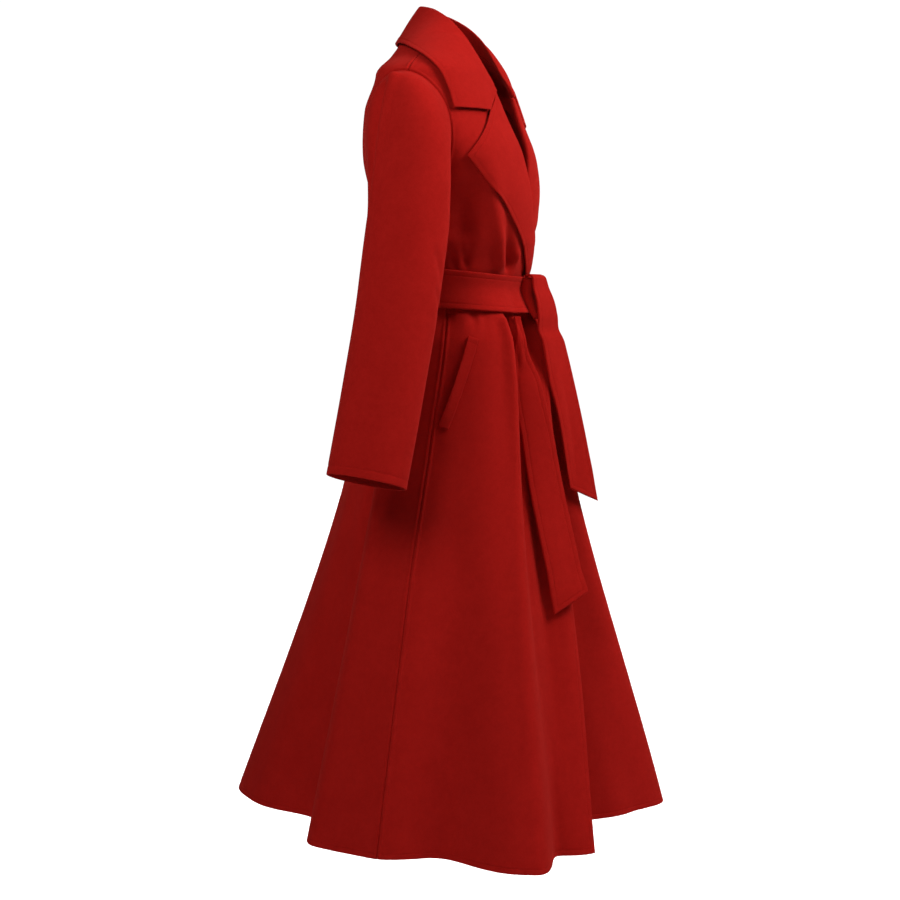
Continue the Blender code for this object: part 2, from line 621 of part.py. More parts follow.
def posed(points):
    """Points in the worn pose, with the left shoulder drawn back."""
    x, y, z = np.moveaxis(points, -1, 0)
    level = between(z, *LEFT_BACK_TOP) * between(z, *LEFT_BACK_LOW)
    return np.stack((x, y + LEFT_BACK * between(x, *LEFT_BACK_SIDE) * level, z), axis=-1)


def add_wall(name, face_a, face_b, wrapped=False):
    """Closed wall between two grids of points, added to the scene under its node's name."""
    rows, columns = face_a.shape[:2]
    shape = bmesh.new()
    sides = [[[shape.verts.new(point) for point in row] for row in posed(grid)] for grid in (face_a, face_b)]
    last = columns if wrapped else columns - 1

    def quad(*corners):
        shape.faces.new([sides[side][row][column % columns] for side, row, column in corners])

    for row in range(rows - 1):
        for column in range(last):
            quad((0, row, column), (0, row, column + 1), (0, row + 1, column + 1), (0, row + 1, column))
            quad((1, row, column), (1, row + 1, column), (1, row + 1, column + 1), (1, row, column + 1))
    for column in range(last):
        quad((0, 0, column), (1, 0, column), (1, 0, column + 1), (0, 0, column + 1))
        top = rows - 1
        quad((0, top, column + 1), (1, top, column + 1), (1, top, column), (0, top, column))
    if not wrapped:
        for row in range(rows - 1):
            quad((0, row + 1, 0), (1, row + 1, 0), (1, row, 0), (0, row, 0))
            quad((0, row, last), (1, row, last), (1, row + 1, last), (0, row + 1, last))
    bmesh.ops.triangulate(shape, faces=shape.faces[:], quad_method="FIXED")
    if shape.calc_volume(signed=True) < 0:
        bmesh.ops.reverse_faces(shape, faces=shape.faces[:])
    mesh = bpy.data.meshes.new(name)
    shape.to_mesh(mesh)
    shape.free()
    mesh.shade_smooth()
    mesh.materials.append(cloth_material(name + "_cloth"))
    piece = bpy.data.objects.new(name, mesh)
    bpy.context.scene.collection.objects.link(piece)
    return piece


def add_panel(name, points, normals, wrapped=False):
    """Wall whose outer face is the given grid."""
    return add_wall(name, points, points - normals * WALL, wrapped)


def add_sheet(name, middle, thickness, wrapped=False):
    """Wall with the given grid at its middle."""
    half = grid_normals(middle, wrapped) * thickness / 2
    return add_wall(name, middle + half, middle - half, wrapped)


def build_coat():
    for old in list(bpy.data.objects):
        bpy.data.objects.remove(old)
    add_panel("back", *back_grid())
    add_panel("front_right", *front_grid(form, right_edge, 1, FRONT_COLUMNS, HEM_DROP))
    add_panel("front_left", *front_grid(left_form, left_edge, -1, LEFT_COLUMNS, LEFT_HEM_DROP))
    right_sleeve = sleeve_grid("middle_y")
    left_sleeve = sleeve_grid("left_y") * (-1.0, 1.0, 1.0)
    add_panel("sleeve_right", right_sleeve, tube_normals(right_sleeve), wrapped=True)
    add_panel("sleeve_left", left_sleeve, tube_normals(left_sleeve), wrapped=True)
    add_sheet("collar", collar_grid(), WALL)
    add_sheet("lapel_right", lapel_grid(form, 1, LAPEL_BREAK), WALL)
    add_sheet("lapel_left", lapel_grid(left_form, -1, LEFT_LAPEL_END), WALL)
    add_sheet("pocket_welt_right", welt_grid(1), WELT_WALL)
    add_sheet("pocket_welt_left", welt_grid(-1), WELT_WALL)
    add_sheet("belt_band", belt_grid(), BELT_WALL)
    add_wall("belt_knot", *knot_faces())
    add_sheet("belt_tail_far", tail_grid(FAR_TAIL, FAR_TAIL_SLANT), BELT_WALL)
    add_sheet("belt_tail_near", tail_grid(NEAR_TAIL, NEAR_TAIL_SLANT), BELT_WALL)


build_coat()
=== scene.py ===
"""Looks of the belted wool coat: fine cloth shells with creases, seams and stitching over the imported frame.

Metres, +Z up. The wearer faces -Y and the wearer's right is -X. Height 0 is the neck point of the
shoulder seam. An angle runs round the body from centre front (0) towards the wearer's right (+90).
"""

import bpy
import numpy as np
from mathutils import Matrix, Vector


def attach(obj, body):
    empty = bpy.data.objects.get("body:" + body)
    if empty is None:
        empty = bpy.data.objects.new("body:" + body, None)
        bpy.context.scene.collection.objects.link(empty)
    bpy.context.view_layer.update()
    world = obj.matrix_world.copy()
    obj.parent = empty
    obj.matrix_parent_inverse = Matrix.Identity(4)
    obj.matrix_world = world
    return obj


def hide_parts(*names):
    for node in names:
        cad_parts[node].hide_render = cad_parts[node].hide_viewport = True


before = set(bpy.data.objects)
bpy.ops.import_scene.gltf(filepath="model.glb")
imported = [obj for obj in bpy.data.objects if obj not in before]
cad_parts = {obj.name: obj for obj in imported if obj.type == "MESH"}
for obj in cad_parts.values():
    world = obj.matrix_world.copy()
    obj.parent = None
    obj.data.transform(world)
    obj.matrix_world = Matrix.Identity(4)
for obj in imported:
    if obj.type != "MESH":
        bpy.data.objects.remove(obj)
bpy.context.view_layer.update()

# Cloth sizes
WALL = 0.0024
BELT_WALL = 0.0036
WELT_WALL = 0.0022
SEAM_RIDGE = 0.0009
SEAM_RIDGE_AT = 0.0034
SEAM_RIDGE_WIDTH = 0.0018
STITCH_INSET = 0.0080
STITCH_WIDTH = 0.0011
STITCH_SINK = 0.0004
STITCH_SIDE_REACH = 0.02
LEAST_HALF_WALL = 0.2

# Heights that the tables share
WAIST = -0.376
HEM = -1.1765
ARMPIT = -0.254

# Rings of the worn form: height, half width, front depth, back depth, squareness
SECTIONS = {
    "height": (-1.230, -1.174, -0.705, -0.460, -0.412, -0.376, -0.340, -0.300, -0.250, -0.185,
               -0.120, -0.070, -0.035, 0.000, 0.012),
    "half": (0.330, 0.318, 0.216, 0.157, 0.1405, 0.1380, 0.1405, 0.154, 0.164, 0.186,
             0.195, 0.196, 0.137, 0.075, 0.054),
    "front": (0.302, 0.290, 0.188, 0.153, 0.1240, 0.1110, 0.1205, 0.1285, 0.130, 0.121,
              0.097, 0.080, 0.068, 0.050, 0.042),
    "back": (0.325, 0.306, 0.153, 0.099, 0.0785, 0.0770, 0.0785, 0.087, 0.093, 0.096,
             0.091, 0.073, 0.074, 0.072, 0.066),
    "square": (2.0, 2.0, 2.0, 2.1, 2.2, 2.2, 2.2, 2.4, 2.7, 3.2,
               3.0, 2.6, 2.2, 2.0, 2.0),
}

# Folds of the skirt, which start at the waist: angle at the waist, angle at the hem, width towards the
# front, width towards the back, depth at mid length, depth at the hem
SKIRT_FOLDS = (
    (36, 49, 14, 26, 0.020, 0.060),
    (18, 31, 13, 10, -0.016, 0.002),
    (8, 24, 12, 12, 0.004, 0.012),
    (112, 125, 20, 22, -0.022, -0.066),
    (150, 161, 20, 18, 0.013, 0.033),
    (180, 186, 16, 16, -0.010, -0.026),
    (-152, -158, 18, 20, 0.012, 0.030),
    (-114, -125, 20, 20, -0.020, -0.056),
    (-84, -90, 16, 16, 0.003, 0.008),
    (-40, -58, 20, 16, 0.015, 0.040),
    (-30, -37, 12, 12, -0.006, -0.014),
    (-14, -19, 14, 14, 0.020, 0.043),
)
FOLD_MIDDLE = 0.45

# Creases of the body: angle and height of the deep end, angle and height where it fades out, half width
# across, depth (a ridge if above zero, else a hollow)
BODY_CREASES = (
    # right front above the belt: the fold beside the lapel, its recess, a small roll, short creases
    (33.0, -0.340, 53.0, -0.160, 0.0120, 0.0100),
    (22.0, -0.338, 36.0, -0.262, 0.0110, -0.0130),
    (14.5, -0.330, 17.5, -0.312, 0.0080, 0.0050),
    (61.0, -0.290, 57.0, -0.150, 0.0200, -0.0110),
    (58.5, -0.340, 62.5, -0.306, 0.0050, -0.0030),
    (58.0, -0.340, 55.0, -0.304, 0.0045, -0.0026),
    (65.5, -0.342, 69.5, -0.312, 0.0055, -0.0028),
    (74.0, -0.338, 82.0, -0.290, 0.0080, -0.0024),
    # right front below the belt: the main fold's sharp start, the hollow in front of it, gathers
    (33.5, -0.410, 50.5, -1.170, 0.0090, 0.0110),
    (26.0, -0.410, 42.5, -1.170, 0.0105, -0.0290),
    (4.0, -0.414, 8.0, -0.660, 0.0200, -0.0340),
    (53.5, -0.406, 53.5, -0.446, 0.0060, -0.0046),
    (59.5, -0.406, 61.0, -0.500, 0.0120, 0.0020),
    (67.0, -0.406, 77.0, -0.456, 0.0065, -0.0048),
    (46.0, -0.408, 49.0, -0.480, 0.0070, -0.0020),
    # skirt on the right: hollow behind the main fold, the fold's edge, the hollow before it, the side
    (69.0, -1.190, 63.0, -0.560, 0.0220, -0.0200),
    (47.0, -1.190, 42.0, -0.420, 0.0080, 0.0045),
    (38.5, -1.190, 35.0, -0.420, 0.0095, -0.0065),
    (86.0, -1.190, 79.0, -0.600, 0.0140, 0.0060),
    (94.5, -0.412, 105.0, -1.190, 0.0105, 0.0085),
    (102.5, -0.405, 118.0, -1.190, 0.0130, -0.0250),
    (109.0, -1.190, 101.0, -0.420, 0.0100, 0.0040),
    (120.0, -1.190, 109.0, -0.420, 0.0120, -0.0120),
    # left front
    (-31.0, -0.340, -45.0, -0.236, 0.0120, 0.0060),
    (-22.0, -0.338, -33.0, -0.280, 0.0100, -0.0060),
    (-56.0, -0.340, -60.5, -0.300, 0.0055, -0.0030),
    (-63.0, -0.340, -61.0, -0.312, 0.0045, -0.0024),
    (-72.0, -0.338, -80.0, -0.288, 0.0075, -0.0026),
    (-26.0, -0.414, -26.0, -0.520, 0.0200, 0.0140),
    (-27.0, -0.412, -34.0, -0.620, 0.0100, -0.0060),
    (-47.0, -0.406, -48.5, -0.452, 0.0060, -0.0034),
    (-57.0, -0.406, -60.0, -0.436, 0.0050, -0.0028),
    (-66.0, -0.406, -75.0, -0.470, 0.0070, -0.0034),
    (-83.0, -0.404, -86.0, -0.440, 0.0060, -0.0026),
    # back above and below the belt
    (101.0, -0.336, 96.0, -0.286, 0.0070, -0.0028),
    (119.0, -0.334, 124.0, -0.262, 0.0085, -0.0036),
    (133.0, -0.334, 131.0, -0.300, 0.0050, -0.0026),
    (152.0, -0.334, 147.0, -0.240, 0.0100, -0.0034),
    (171.0, -0.334, 173.0, -0.296, 0.0060, -0.0028),
    (190.0, -0.334, 187.0, -0.270, 0.0075, -0.0034),
    (208.0, -0.334, 214.0, -0.248, 0.0095, -0.0036),
    (226.0, -0.334, 228.0, -0.304, 0.0050, -0.0026),
    (243.0, -0.334, 238.0, -0.268, 0.0080, -0.0032),
    (261.0, -0.336, 265.0, -0.290, 0.0065, -0.0026),
    (98.0, -0.400, 101.0, -0.446, 0.0060, -0.0030),
    (121.0, -0.400, 124.0, -0.510, 0.0110, -0.0040),
    (139.0, -0.400, 138.0, -0.440, 0.0055, -0.0030),
    (160.0, -0.400, 158.0, -0.462, 0.0070, -0.0034),
    (178.0, -0.400, 180.0, -0.520, 0.0110, -0.0040),
    (197.0, -0.400, 200.0, -0.444, 0.0055, -0.0028),
    (219.0, -0.400, 216.0, -0.470, 0.0075, -0.0034),
    (240.0, -0.400, 237.0, -0.500, 0.0100, -0.0040),
    (258.0, -0.400, 262.0, -0.442, 0.0060, -0.0030),
)

# Radius at which a crease's angles become lengths, and how far past the belt's edge ridges and hollows
# start and are full
CREASE_RADIUS = 0.14
RIDGE_BELT_CLEAR = (0.001, 0.008)
HOLLOW_BELT_CLEAR = (-0.02, 0.004)

# Drop of the hem towards the front edge of each front, and its rise at the back
HEM_DROP = 0.021
LEFT_HEM_DROP = 0.003
HEM_DROP_FROM = 84
HEM_RISE_BACK = 0.012
HEM_RISE_ANGLES = (100, 160)

# Front edge of the right front and how far the panel stops short of the fold of its lapel
RIGHT_EDGE = {
    "height": (-1.230, -1.180, -0.830, -0.600, -0.420, -0.370, -0.3565, -0.289, -0.247, -0.204,
               -0.176, -0.142, -0.086, -0.045, -0.020, 0.000),
    "angle": (26.8, 25.6, 10.8, 1.0, -10.0, -13.0, -13.0, -2.0, 2.5, 6.0,
              9.0, 14.5, 26.6, 46.0, 66.0, 85.46),
    "short": (0.0, 0.0, 0.0, 0.0, 0.0, 0.0, 0.0084, 0.0084, 0.0084, 0.0084,
              0.0084, 0.0084, 0.0084, 0.0, 0.0, 0.0),
}

# Edge of the left front below the crossing of the lapels, where it runs on under the right front
LEFT_EDGE = {
    "height": (-1.230, -1.174, -0.830, -0.600, -0.420, -0.350, -0.300),
    "angle": (53.0, 52.0, 46.0, 40.0, 33.0, 24.0, 0.0),
}
CROSSING = -0.300

# Left front under the right one: how far in, over which angles ahead of the right edge, and heights
LAP_INSET = 0.011
LAP_INSET_ANGLES = (-42, -6)
LAP_INSET_HEIGHTS = (-0.15, -0.25)

# Hollow of the left front below the waist: angle where it is full at the waist and at the hem, degrees
# over which it deepens, depth at the hem
LAP_HOLLOW_ANGLE = (2, 14)
LAP_HOLLOW_WIDTH = 22
LAP_HOLLOW_DEPTH = 0.055

# Left shoulder, drawn back in the worn pose: how far, and where that starts and is full
LEFT_BACK = 0.016
LEFT_BACK_SIDE = (0.02, 0.12)
LEFT_BACK_TOP = (0.03, -0.03)
LEFT_BACK_LOW = (-0.37, -0.25)

# Side seam between front and back
SIDE_SEAM = {
    "height": (-1.230, -1.174, -0.790, -0.600, -0.400, -0.320, -0.254),
    "angle": (87.0, 86.6, 82.0, 76.6, 70.0, 77.0, 88.26),
}

# Armhole, an ellipse from the side that lies on the form
ARMHOLE_CENTRE_Y = -0.005
ARMHOLE_HALF_DEPTH = 0.067
ARMHOLE_CENTRE_Z = -0.162
ARMHOLE_HALF_HEIGHT = 0.092
SHOULDER_SEAM_TURN = -9.0
SHOULDER_SHARE = 0.36

# Sleeve rings from armhole to cuff: outer path, inner path, middle, half depth
SLEEVE = {
    "station": (0.0, 0.05, 0.11, 0.20, 0.32, 0.52, 0.76, 1.0),
    "outer_x": (0.195, 0.213, 0.230, 0.250, 0.271, 0.302, 0.334, 0.362),
    "outer_z": (-0.070, -0.076, -0.097, -0.147, -0.232, -0.365, -0.505, -0.633),
    "inner_x": (0.165, 0.1705, 0.177, 0.185, 0.195, 0.219, 0.250, 0.280),
    "inner_z": (-0.254, -0.263, -0.277, -0.300, -0.335, -0.408, -0.530, -0.657),
    "middle_y": (-0.005, -0.010, -0.017, -0.025, -0.030, -0.028, -0.018, -0.005),
    "left_y": (-0.005, -0.004, 0.000, 0.008, 0.018, 0.030, 0.038, 0.044),
    "half_depth": (0.067, 0.067, 0.0655, 0.0625, 0.0605, 0.060, 0.059, 0.058),
}
CUFF_DROP = 0.0065
CUFF_DROP_FROM = 0.5
SLEEVE_HEAD = 0.15
SLEEVE_LENGTH = 0.60
SLEEVE_REACH = 0.062
SLEEVE_TURN = 0.012
SLEEVE_CREASE_FROM = 0.05

# Creases of a sleeve: turn and station of the deep end, turn and station of its end, half width, depth
SLEEVE_CREASES = (
    (9, 0.06, 70, 0.48, 0.0085, 0.0070),
    (27, 0.08, 88, 0.50, 0.0120, -0.0110),
    (195, 0.05, 215, 0.20, 0.0100, -0.0050),
    (160, 0.06, 150, 0.24, 0.0110, -0.0045),
    (285, 0.44, 250, 0.52, 0.0090, -0.0026),
    (275, 0.52, 235, 0.57, 0.0080, -0.0022),
    (110, 0.50, 150, 0.58, 0.0090, -0.0024),
    (120, 0.60, 165, 0.64, 0.0080, -0.0018),
)

# Lapel: inner fold follows RIGHT_EDGE, outer edge from tip to break in angle and height
LAPEL_TOP = -0.086
LAPEL_NOTCH = (42.7, -0.119)
LAPEL_NOTCH_SHARE = 0.46
LAPEL_NOTCH_FADE = 0.30
LAPEL_EDGE = {
    "share": (0.0, 0.34, 0.68, 1.0),
    "angle": (61.0, 47.0, 24.0, -4.0),
    "height": (-0.188, -0.231, -0.285, -0.3525),
}
LAPEL_BREAK = -0.3565
LEFT_LAPEL_END = -0.295
GORGE_SHARE = 0.0020
GORGE_GAP = 0.0004
FOLD_LEG = 0.0080
FOLD_NOSE = 0.0029
LAPEL_LIFT = 0.0052
LAPEL_EDGE_LIFT = 0.0040

# Collar from centre back (0) to gorge (1): neck seam, fold line, outer edge
COLLAR = {
    "station": (0.0, 0.22, 0.42, 0.58, 0.72, 0.86, 0.94, 1.0),
    "neck_angle": (180, 150, 116, 85.46, 62, 45, 37, 31.6),
    "neck_height": (0.000, 0.000, 0.000, 0.000, -0.024, -0.048, -0.068, -0.086),
    "fold_x": (0.000, 0.024, 0.040, 0.050, 0.0585, 0.0570, 0.0505, 0.0428),
    "fold_y": (0.046, 0.037, 0.014, -0.012, -0.042, -0.064, -0.079, -0.0915),
    "fold_z": (0.049, 0.048, 0.042, 0.028, 0.001, -0.030, -0.058, -0.086),
    "edge_angle": (180, 152, 128, 106, 87, 74.3, 69.4, 67.0),
    "edge_height": (-0.010, -0.011, -0.014, -0.022, -0.040, -0.068, -0.098, -0.123),
}
COLLAR_SHOULDER = 0.58
COLLAR_SEAM_GAP = 0.0012
COLLAR_EDGE_LIFT = 0.0058
COLLAR_BULGE = 0.003
COLLAR_NOTCH_SHARE = 0.42
COLLAR_NOTCH_FROM = 0.80
COLLAR_FRONT_LENGTH = 0.115
COLLAR_STAND_LENGTH = 0.03

# Left half of the collar, which stands further back: how far, and the stations where that starts, is
# full, begins to fade and ends
LEFT_COLLAR_BACK = 0.0075
LEFT_COLLAR_STATIONS = (0.05, 0.45, 0.90, 1.0)

# Pocket welt, from its top to its lower end
WELT_TOP = (55.5, -0.449)
WELT_LOW = (71.0, -0.578)
WELT_WIDTH = 0.016
WELT_LENGTH = 0.15
WELT_CLEAR = 0.0008
WELT_GAPE = 0.0032

# Belt
BELT_WIDTH = 0.058
BELT_HEIGHT_SIDE = -0.373
BELT_DIP_FRONT = 0.0135
BELT_RISE_BACK = 0.006
BELT_ENDS = (-5.0, 349.0)
BELT_CLEAR = 0.0024

# Knot: a packed wrap of cloth over the belt's ends
KNOT_ANGLE = -9.0
KNOT_FACE = 4.0
KNOT_HALF_WIDTH = 0.023
KNOT_HALF_HEIGHT = 0.0325
KNOT_DROP = 0.0052
KNOT_BACK = 0.0070
KNOT_RIM = 0.005
KNOT_CROWN = 0.0085
KNOT_TAPER = 0.45
KNOT_ROUNDING = 0.06
KNOT_SQUARENESS = 10

# Far tail, turned over the top of the knot and hanging down the left front: share of its length, angle
# and height of its middle, distance out from the form, angle that it faces, half width
FAR_TAIL = {
    "share": (0.0, 0.04, 0.08, 0.13, 0.20, 0.27, 0.34, 0.52, 0.76, 1.0),
    "angle": (-9, -9, -9, -9, -9, -9, -9.5, -11, -12, -12),
    "height": (-0.3565, -0.3563, -0.3583, -0.3668, -0.388, -0.416, -0.446, -0.525, -0.615, -0.692),
    "out": (0.0095, 0.0158, 0.0222, 0.0277, 0.0325, 0.0245, 0.0065, 0.003, 0.0045, 0.0075),
    "face": (0, 2, 4, 6, 9, 11, 14, 22, 28, 32),
    "half": (0.022, 0.023, 0.024, 0.025, 0.0265, 0.0285, 0.029, 0.029, 0.029, 0.029),
}
FAR_TAIL_SLANT = 0.012

# Near tail, from under the belt down the right front
NEAR_TAIL = {
    "share": (0.0, 0.05, 0.12, 0.22, 0.42, 0.70, 1.0),
    "angle": (18, 20, 22, 22, 19.5, 17.8, 16.8),
    "height": (-0.4185, -0.440, -0.472, -0.520, -0.605, -0.725, -0.842),
    "out": (0.0040, 0.000, -0.004, 0.003, 0.011, 0.013, 0.012),
    "face": (60, 60, 58, 52, 46, 42, 42),
    "half": (0.005, 0.006, 0.011, 0.0225, 0.0265, 0.029, 0.029),
}
NEAR_TAIL_SLANT = -0.015
TAIL_LENGTH = 0.4
TAIL_LIFT = 0.0030
TAIL_SLANT_FROM = 0.86

# Mesh steps in from an edge: a free stitched one, a seamed one, and single ones elsewhere
EDGE_STEPS = (0.0, 0.0002, 0.0006, 0.0012, 0.0024, 0.0040, 0.0055, 0.0066, 0.0073, 0.0080, 0.0087,
              0.0094, 0.0105, 0.0122, 0.0150)
SEAM_STEPS = (0.0, 0.0002, 0.0006, 0.0012, 0.0019, 0.0026, 0.0034, 0.0043, 0.0054, 0.0070)
NO_STEPS = (0.0,)
ARMPIT_STEPS = (0.004,)
LAPEL_STEPS = (0.005,)
COLLAR_STEPS = (0.002,)
LONGEST_STEPS = 0.42
CUFF_INSET = 0.0125
LEAST_SLOPE = 0.3

# Mesh rows and columns between those steps
SKIRT_ROWS = 150
CHEST_ROWS = 60
RIGHT_COLUMNS = 84
LEFT_COLUMNS = 96
HALF_BACK_COLUMNS = 84
SLEEVE_ROWS = 120
SLEEVE_SIDES = 96
LAPEL_ROWS = 70
LAPEL_COLUMNS = 44
FOLD_POINTS = 13
COLLAR_COLUMNS = 40
COLLAR_STAND_ROWS = 8
COLLAR_FALL_ROWS = 30
WELT_ROWS = 40
WELT_COLUMNS = 5
BELT_ROWS = 260
BELT_COLUMNS = 8
TAIL_ROWS = 110
TAIL_COLUMNS = 6
KNOT_POINTS = 41
LENGTH_SAMPLES = 40
GORGE_SAMPLES = 400
SIDES = ("first_row", "last_row", "first_column", "last_column")
TO_LEFT = (-1.0, 1.0, 1.0)


def smooth(table, name, at, key):
    """Cubic curve through one column of a table, without overshoot, held level past its ends."""
    known = np.asarray(table[key], float)
    value = np.asarray(table[name], float)
    step = np.diff(known)
    rise = np.diff(value) / step
    product = rise[:-1] * rise[1:]
    total = np.where(product > 0, rise[:-1] + rise[1:], 1.0)
    slope = np.concatenate((rise[:1], np.where(product > 0, 2 * product / total, 0.0), rise[-1:]))
    at = np.clip(at, known[0], known[-1])
    i = np.clip(np.searchsorted(known, at) - 1, 0, len(step) - 1)
    t = (at - known[i]) / step[i]
    start = value[i] * (1 + 2 * t) * (1 - t) ** 2 + slope[i] * step[i] * t * (1 - t) ** 2
    return start + value[i + 1] * t * t * (3 - 2 * t) + slope[i + 1] * step[i] * t * t * (t - 1)


def ease(share):
    """Smooth step from 0 to 1."""
    share = np.clip(share, 0.0, 1.0)
    return share * share * (3 - 2 * share)


def between(value, start, full):
    """Smooth step that starts at one value and is full at another."""
    return ease((value - start) / (full - start))


def bump(offset):
    """Rounded bump of height 1 that ends at offsets -1 and 1."""
    return np.where(np.abs(offset) < 1, 0.5 + 0.5 * np.cos(np.pi * np.clip(offset, -1, 1)), 0.0)


def turned(angle):
    """Angle in degrees brought between -180 and 180."""
    return (angle + 180.0) % 360.0 - 180.0


def unit(vectors):
    return vectors / np.maximum(np.linalg.norm(vectors, axis=-1, keepdims=True), 1e-12)


def skirt_share(height):
    return np.clip((WAIST - height) / (WAIST - HEM), 0.0, 1.1)


def fold_depth(angle, height):
    """Radial depth of the skirt's folds at an angle in degrees."""
    share = skirt_share(height)
    depth = 0.0
    for at_waist, at_hem, before, after, at_middle, full in SKIRT_FOLDS:
        away = turned(angle - (at_waist + (at_hem - at_waist) * share))
        toward_back = away * np.sign(at_hem) > 0
        growth = (full - at_middle / FOLD_MIDDLE) / (1 - FOLD_MIDDLE)
        size = share * (full - growth + growth * share)
        depth = depth + size * bump(away / np.where(toward_back, after, before))
    return depth


def crease_depth(table, turn, along, reach, stretch=1.0):
    """Depth of a table's creases: each is deepest at its start and fades towards its end."""
    depth = 0.0
    for turn_a, along_a, turn_b, along_b, width, size in table:
        side = np.radians(turned(turn - turn_a)) * reach
        down = (along - along_a) * stretch
        run = np.radians(turn_b - turn_a) * reach, (along_b - along_a) * stretch
        share = np.clip((side * run[0] + down * run[1]) / (run[0] ** 2 + run[1] ** 2), 0, 1)
        away = np.hypot(side - share * run[0], down - share * run[1])
        depth = depth + size * (1 - ease(share)) * np.exp(-(away / width) ** 2)
    return depth


def belt_middle(angle):
    """Height of the belt's middle round the waist."""
    ahead = np.cos(np.radians(angle))
    dip = BELT_DIP_FRONT * np.maximum(ahead, 0)
    return BELT_HEIGHT_SIDE - dip + BELT_RISE_BACK * np.maximum(-ahead, 0)


def body_creases(angle, height):
    """Crease depth of the body, which stays flat under the belt."""
    depth = crease_depth(BODY_CREASES, angle, height, CREASE_RADIUS)
    past_belt = np.abs(height - belt_middle(angle)) - BELT_WIDTH / 2
    ridges = between(past_belt, *RIDGE_BELT_CLEAR)
    hollows = between(past_belt, *HOLLOW_BELT_CLEAR)
    return depth * np.where(depth > 0, ridges, hollows)


def ring_sizes(height):
    return (smooth(SECTIONS, name, height, "height") for name in ("half", "front", "back", "square"))


def uncreased(angle, height):
    """Outer face of the worn coat with its large folds alone."""
    turn = np.radians(angle)
    half, front, back, square = ring_sizes(height)
    depth = np.where(np.cos(turn) > 0, front, back)
    across = (np.abs(np.sin(turn)) / half) ** square
    radius = (across + (np.abs(np.cos(turn)) / depth) ** square) ** (-1 / square)
    radius = radius + fold_depth(angle, height)
    return np.stack((-radius * np.sin(turn), -radius * np.cos(turn), height + 0 * radius), axis=-1)


def form(angle, height):
    """Outer face of the worn coat with its folds and creases."""
    outer = uncreased(angle, height)
    return outer + unit(outer * (1.0, 1.0, 0.0)) * body_creases(angle, height)[..., None]


def left_form(angle, height):
    """Outer face of the left front, which sinks in where the right front laps over it."""
    edge = smooth(RIGHT_EDGE, "angle", height, "height")
    under = between(angle - edge, *LAP_INSET_ANGLES) * between(height, *LAP_INSET_HEIGHTS)
    share = skirt_share(height)
    middle = LAP_HOLLOW_ANGLE[0] + (LAP_HOLLOW_ANGLE[1] - LAP_HOLLOW_ANGLE[0]) * share
    hollow = LAP_HOLLOW_DEPTH * share * ease((angle - middle + LAP_HOLLOW_WIDTH) / LAP_HOLLOW_WIDTH)
    outer = form(angle, height)
    flat = outer * (1.0, 1.0, 0.0)
    return outer - unit(flat) * (LAP_INSET * under + hollow)[..., None]


def hem_shift(angle, height, drop):
    """Fall or rise of a lower row's height at an angle."""
    fall = drop * between(np.abs(angle), HEM_DROP_FROM, 0)
    rise = HEM_RISE_BACK * between(np.abs(turned(angle)), *HEM_RISE_ANGLES)
    return skirt_share(height) ** 2 * (rise - fall)


def angle_of(points):
    return np.degrees(np.arctan2(-points[..., 0], -points[..., 1]))


def outward(surface, angle, height):
    """Unit normal of a surface given by angle and height."""
    turn_step = 0.1
    rise_step = 0.001
    round_it = surface(angle + turn_step, height) - surface(angle - turn_step, height)
    up_it = surface(angle, height + rise_step) - surface(angle, height - rise_step)
    return unit(np.cross(up_it, round_it))


def moved_out(surface, angle, height, lift):
    """Points of a surface moved out along its normal."""
    lift = np.asarray(lift)[..., None] if np.ndim(lift) else lift
    return surface(angle, height) + outward(surface, angle, height) * lift


def rested(points, lift, surface=form):
    """Points moved straight out from the body's axis where they lie closer to a surface than a lift."""
    flat = points * (1.0, 1.0, 0.0)
    angle = angle_of(points)
    ground = surface(angle, points[..., 2])
    slope = np.sum(outward(surface, angle, points[..., 2]) * unit(flat), axis=-1)
    need = np.linalg.norm(ground[..., :2], axis=-1) + lift / np.maximum(slope, LEAST_SLOPE)
    short = np.maximum(need - np.linalg.norm(flat, axis=-1), 0) * (points[..., 2] < 0)
    return points + unit(flat) * short[..., None]


def armhole(turn):
    """Point of the right armhole: turn 0 is its top, 90 its back, 180 its foot, 270 its front."""
    turn = np.radians(turn)
    y = ARMHOLE_CENTRE_Y + ARMHOLE_HALF_DEPTH * np.sin(turn)
    z = ARMHOLE_CENTRE_Z + ARMHOLE_HALF_HEIGHT * np.cos(turn)
    half, front, back, square = ring_sizes(z)
    share = np.abs(y) / np.where(y < 0, front, back)
    return np.stack((-half * (1 - share ** square) ** (1 / square), y, z), axis=-1)


def armhole_rows(turn):
    """Angle and height of the armhole's points."""
    points = armhole(turn)
    return angle_of(points), points[:, 2]


def right_edge(height):
    """Angle where the right front panel ends."""
    angle = smooth(RIGHT_EDGE, "angle", height, "height")
    reach = np.linalg.norm(form(angle, height)[..., :2], axis=-1)
    return angle + np.degrees(smooth(RIGHT_EDGE, "short", height, "height") / reach)


def left_edge(height):
    """Angle where the left front panel ends: the mirrored lapel fold, then the under lap."""
    under = smooth(LEFT_EDGE, "angle", height, "height")
    return np.where(height > CROSSING, -right_edge(height), under)


def spaced(length, start, end, count):
    """Shares along lines of the given lengths: finely stepped near both ends, even between."""
    length = np.atleast_1d(np.asarray(length, float))[:, None]
    start, end = np.asarray(start), np.asarray(end)[::-1]
    shrink = np.minimum(1, LONGEST_STEPS * length / max(start[-1], end[0], 1e-6))
    head = start * shrink / length
    tail = 1 - end * shrink / length
    middle = np.linspace(0, 1, count + 2)[1:-1]
    low, high = head[:, -1:], tail[:, :1]
    return np.concatenate((head, low + (high - low) * middle, tail), axis=1)


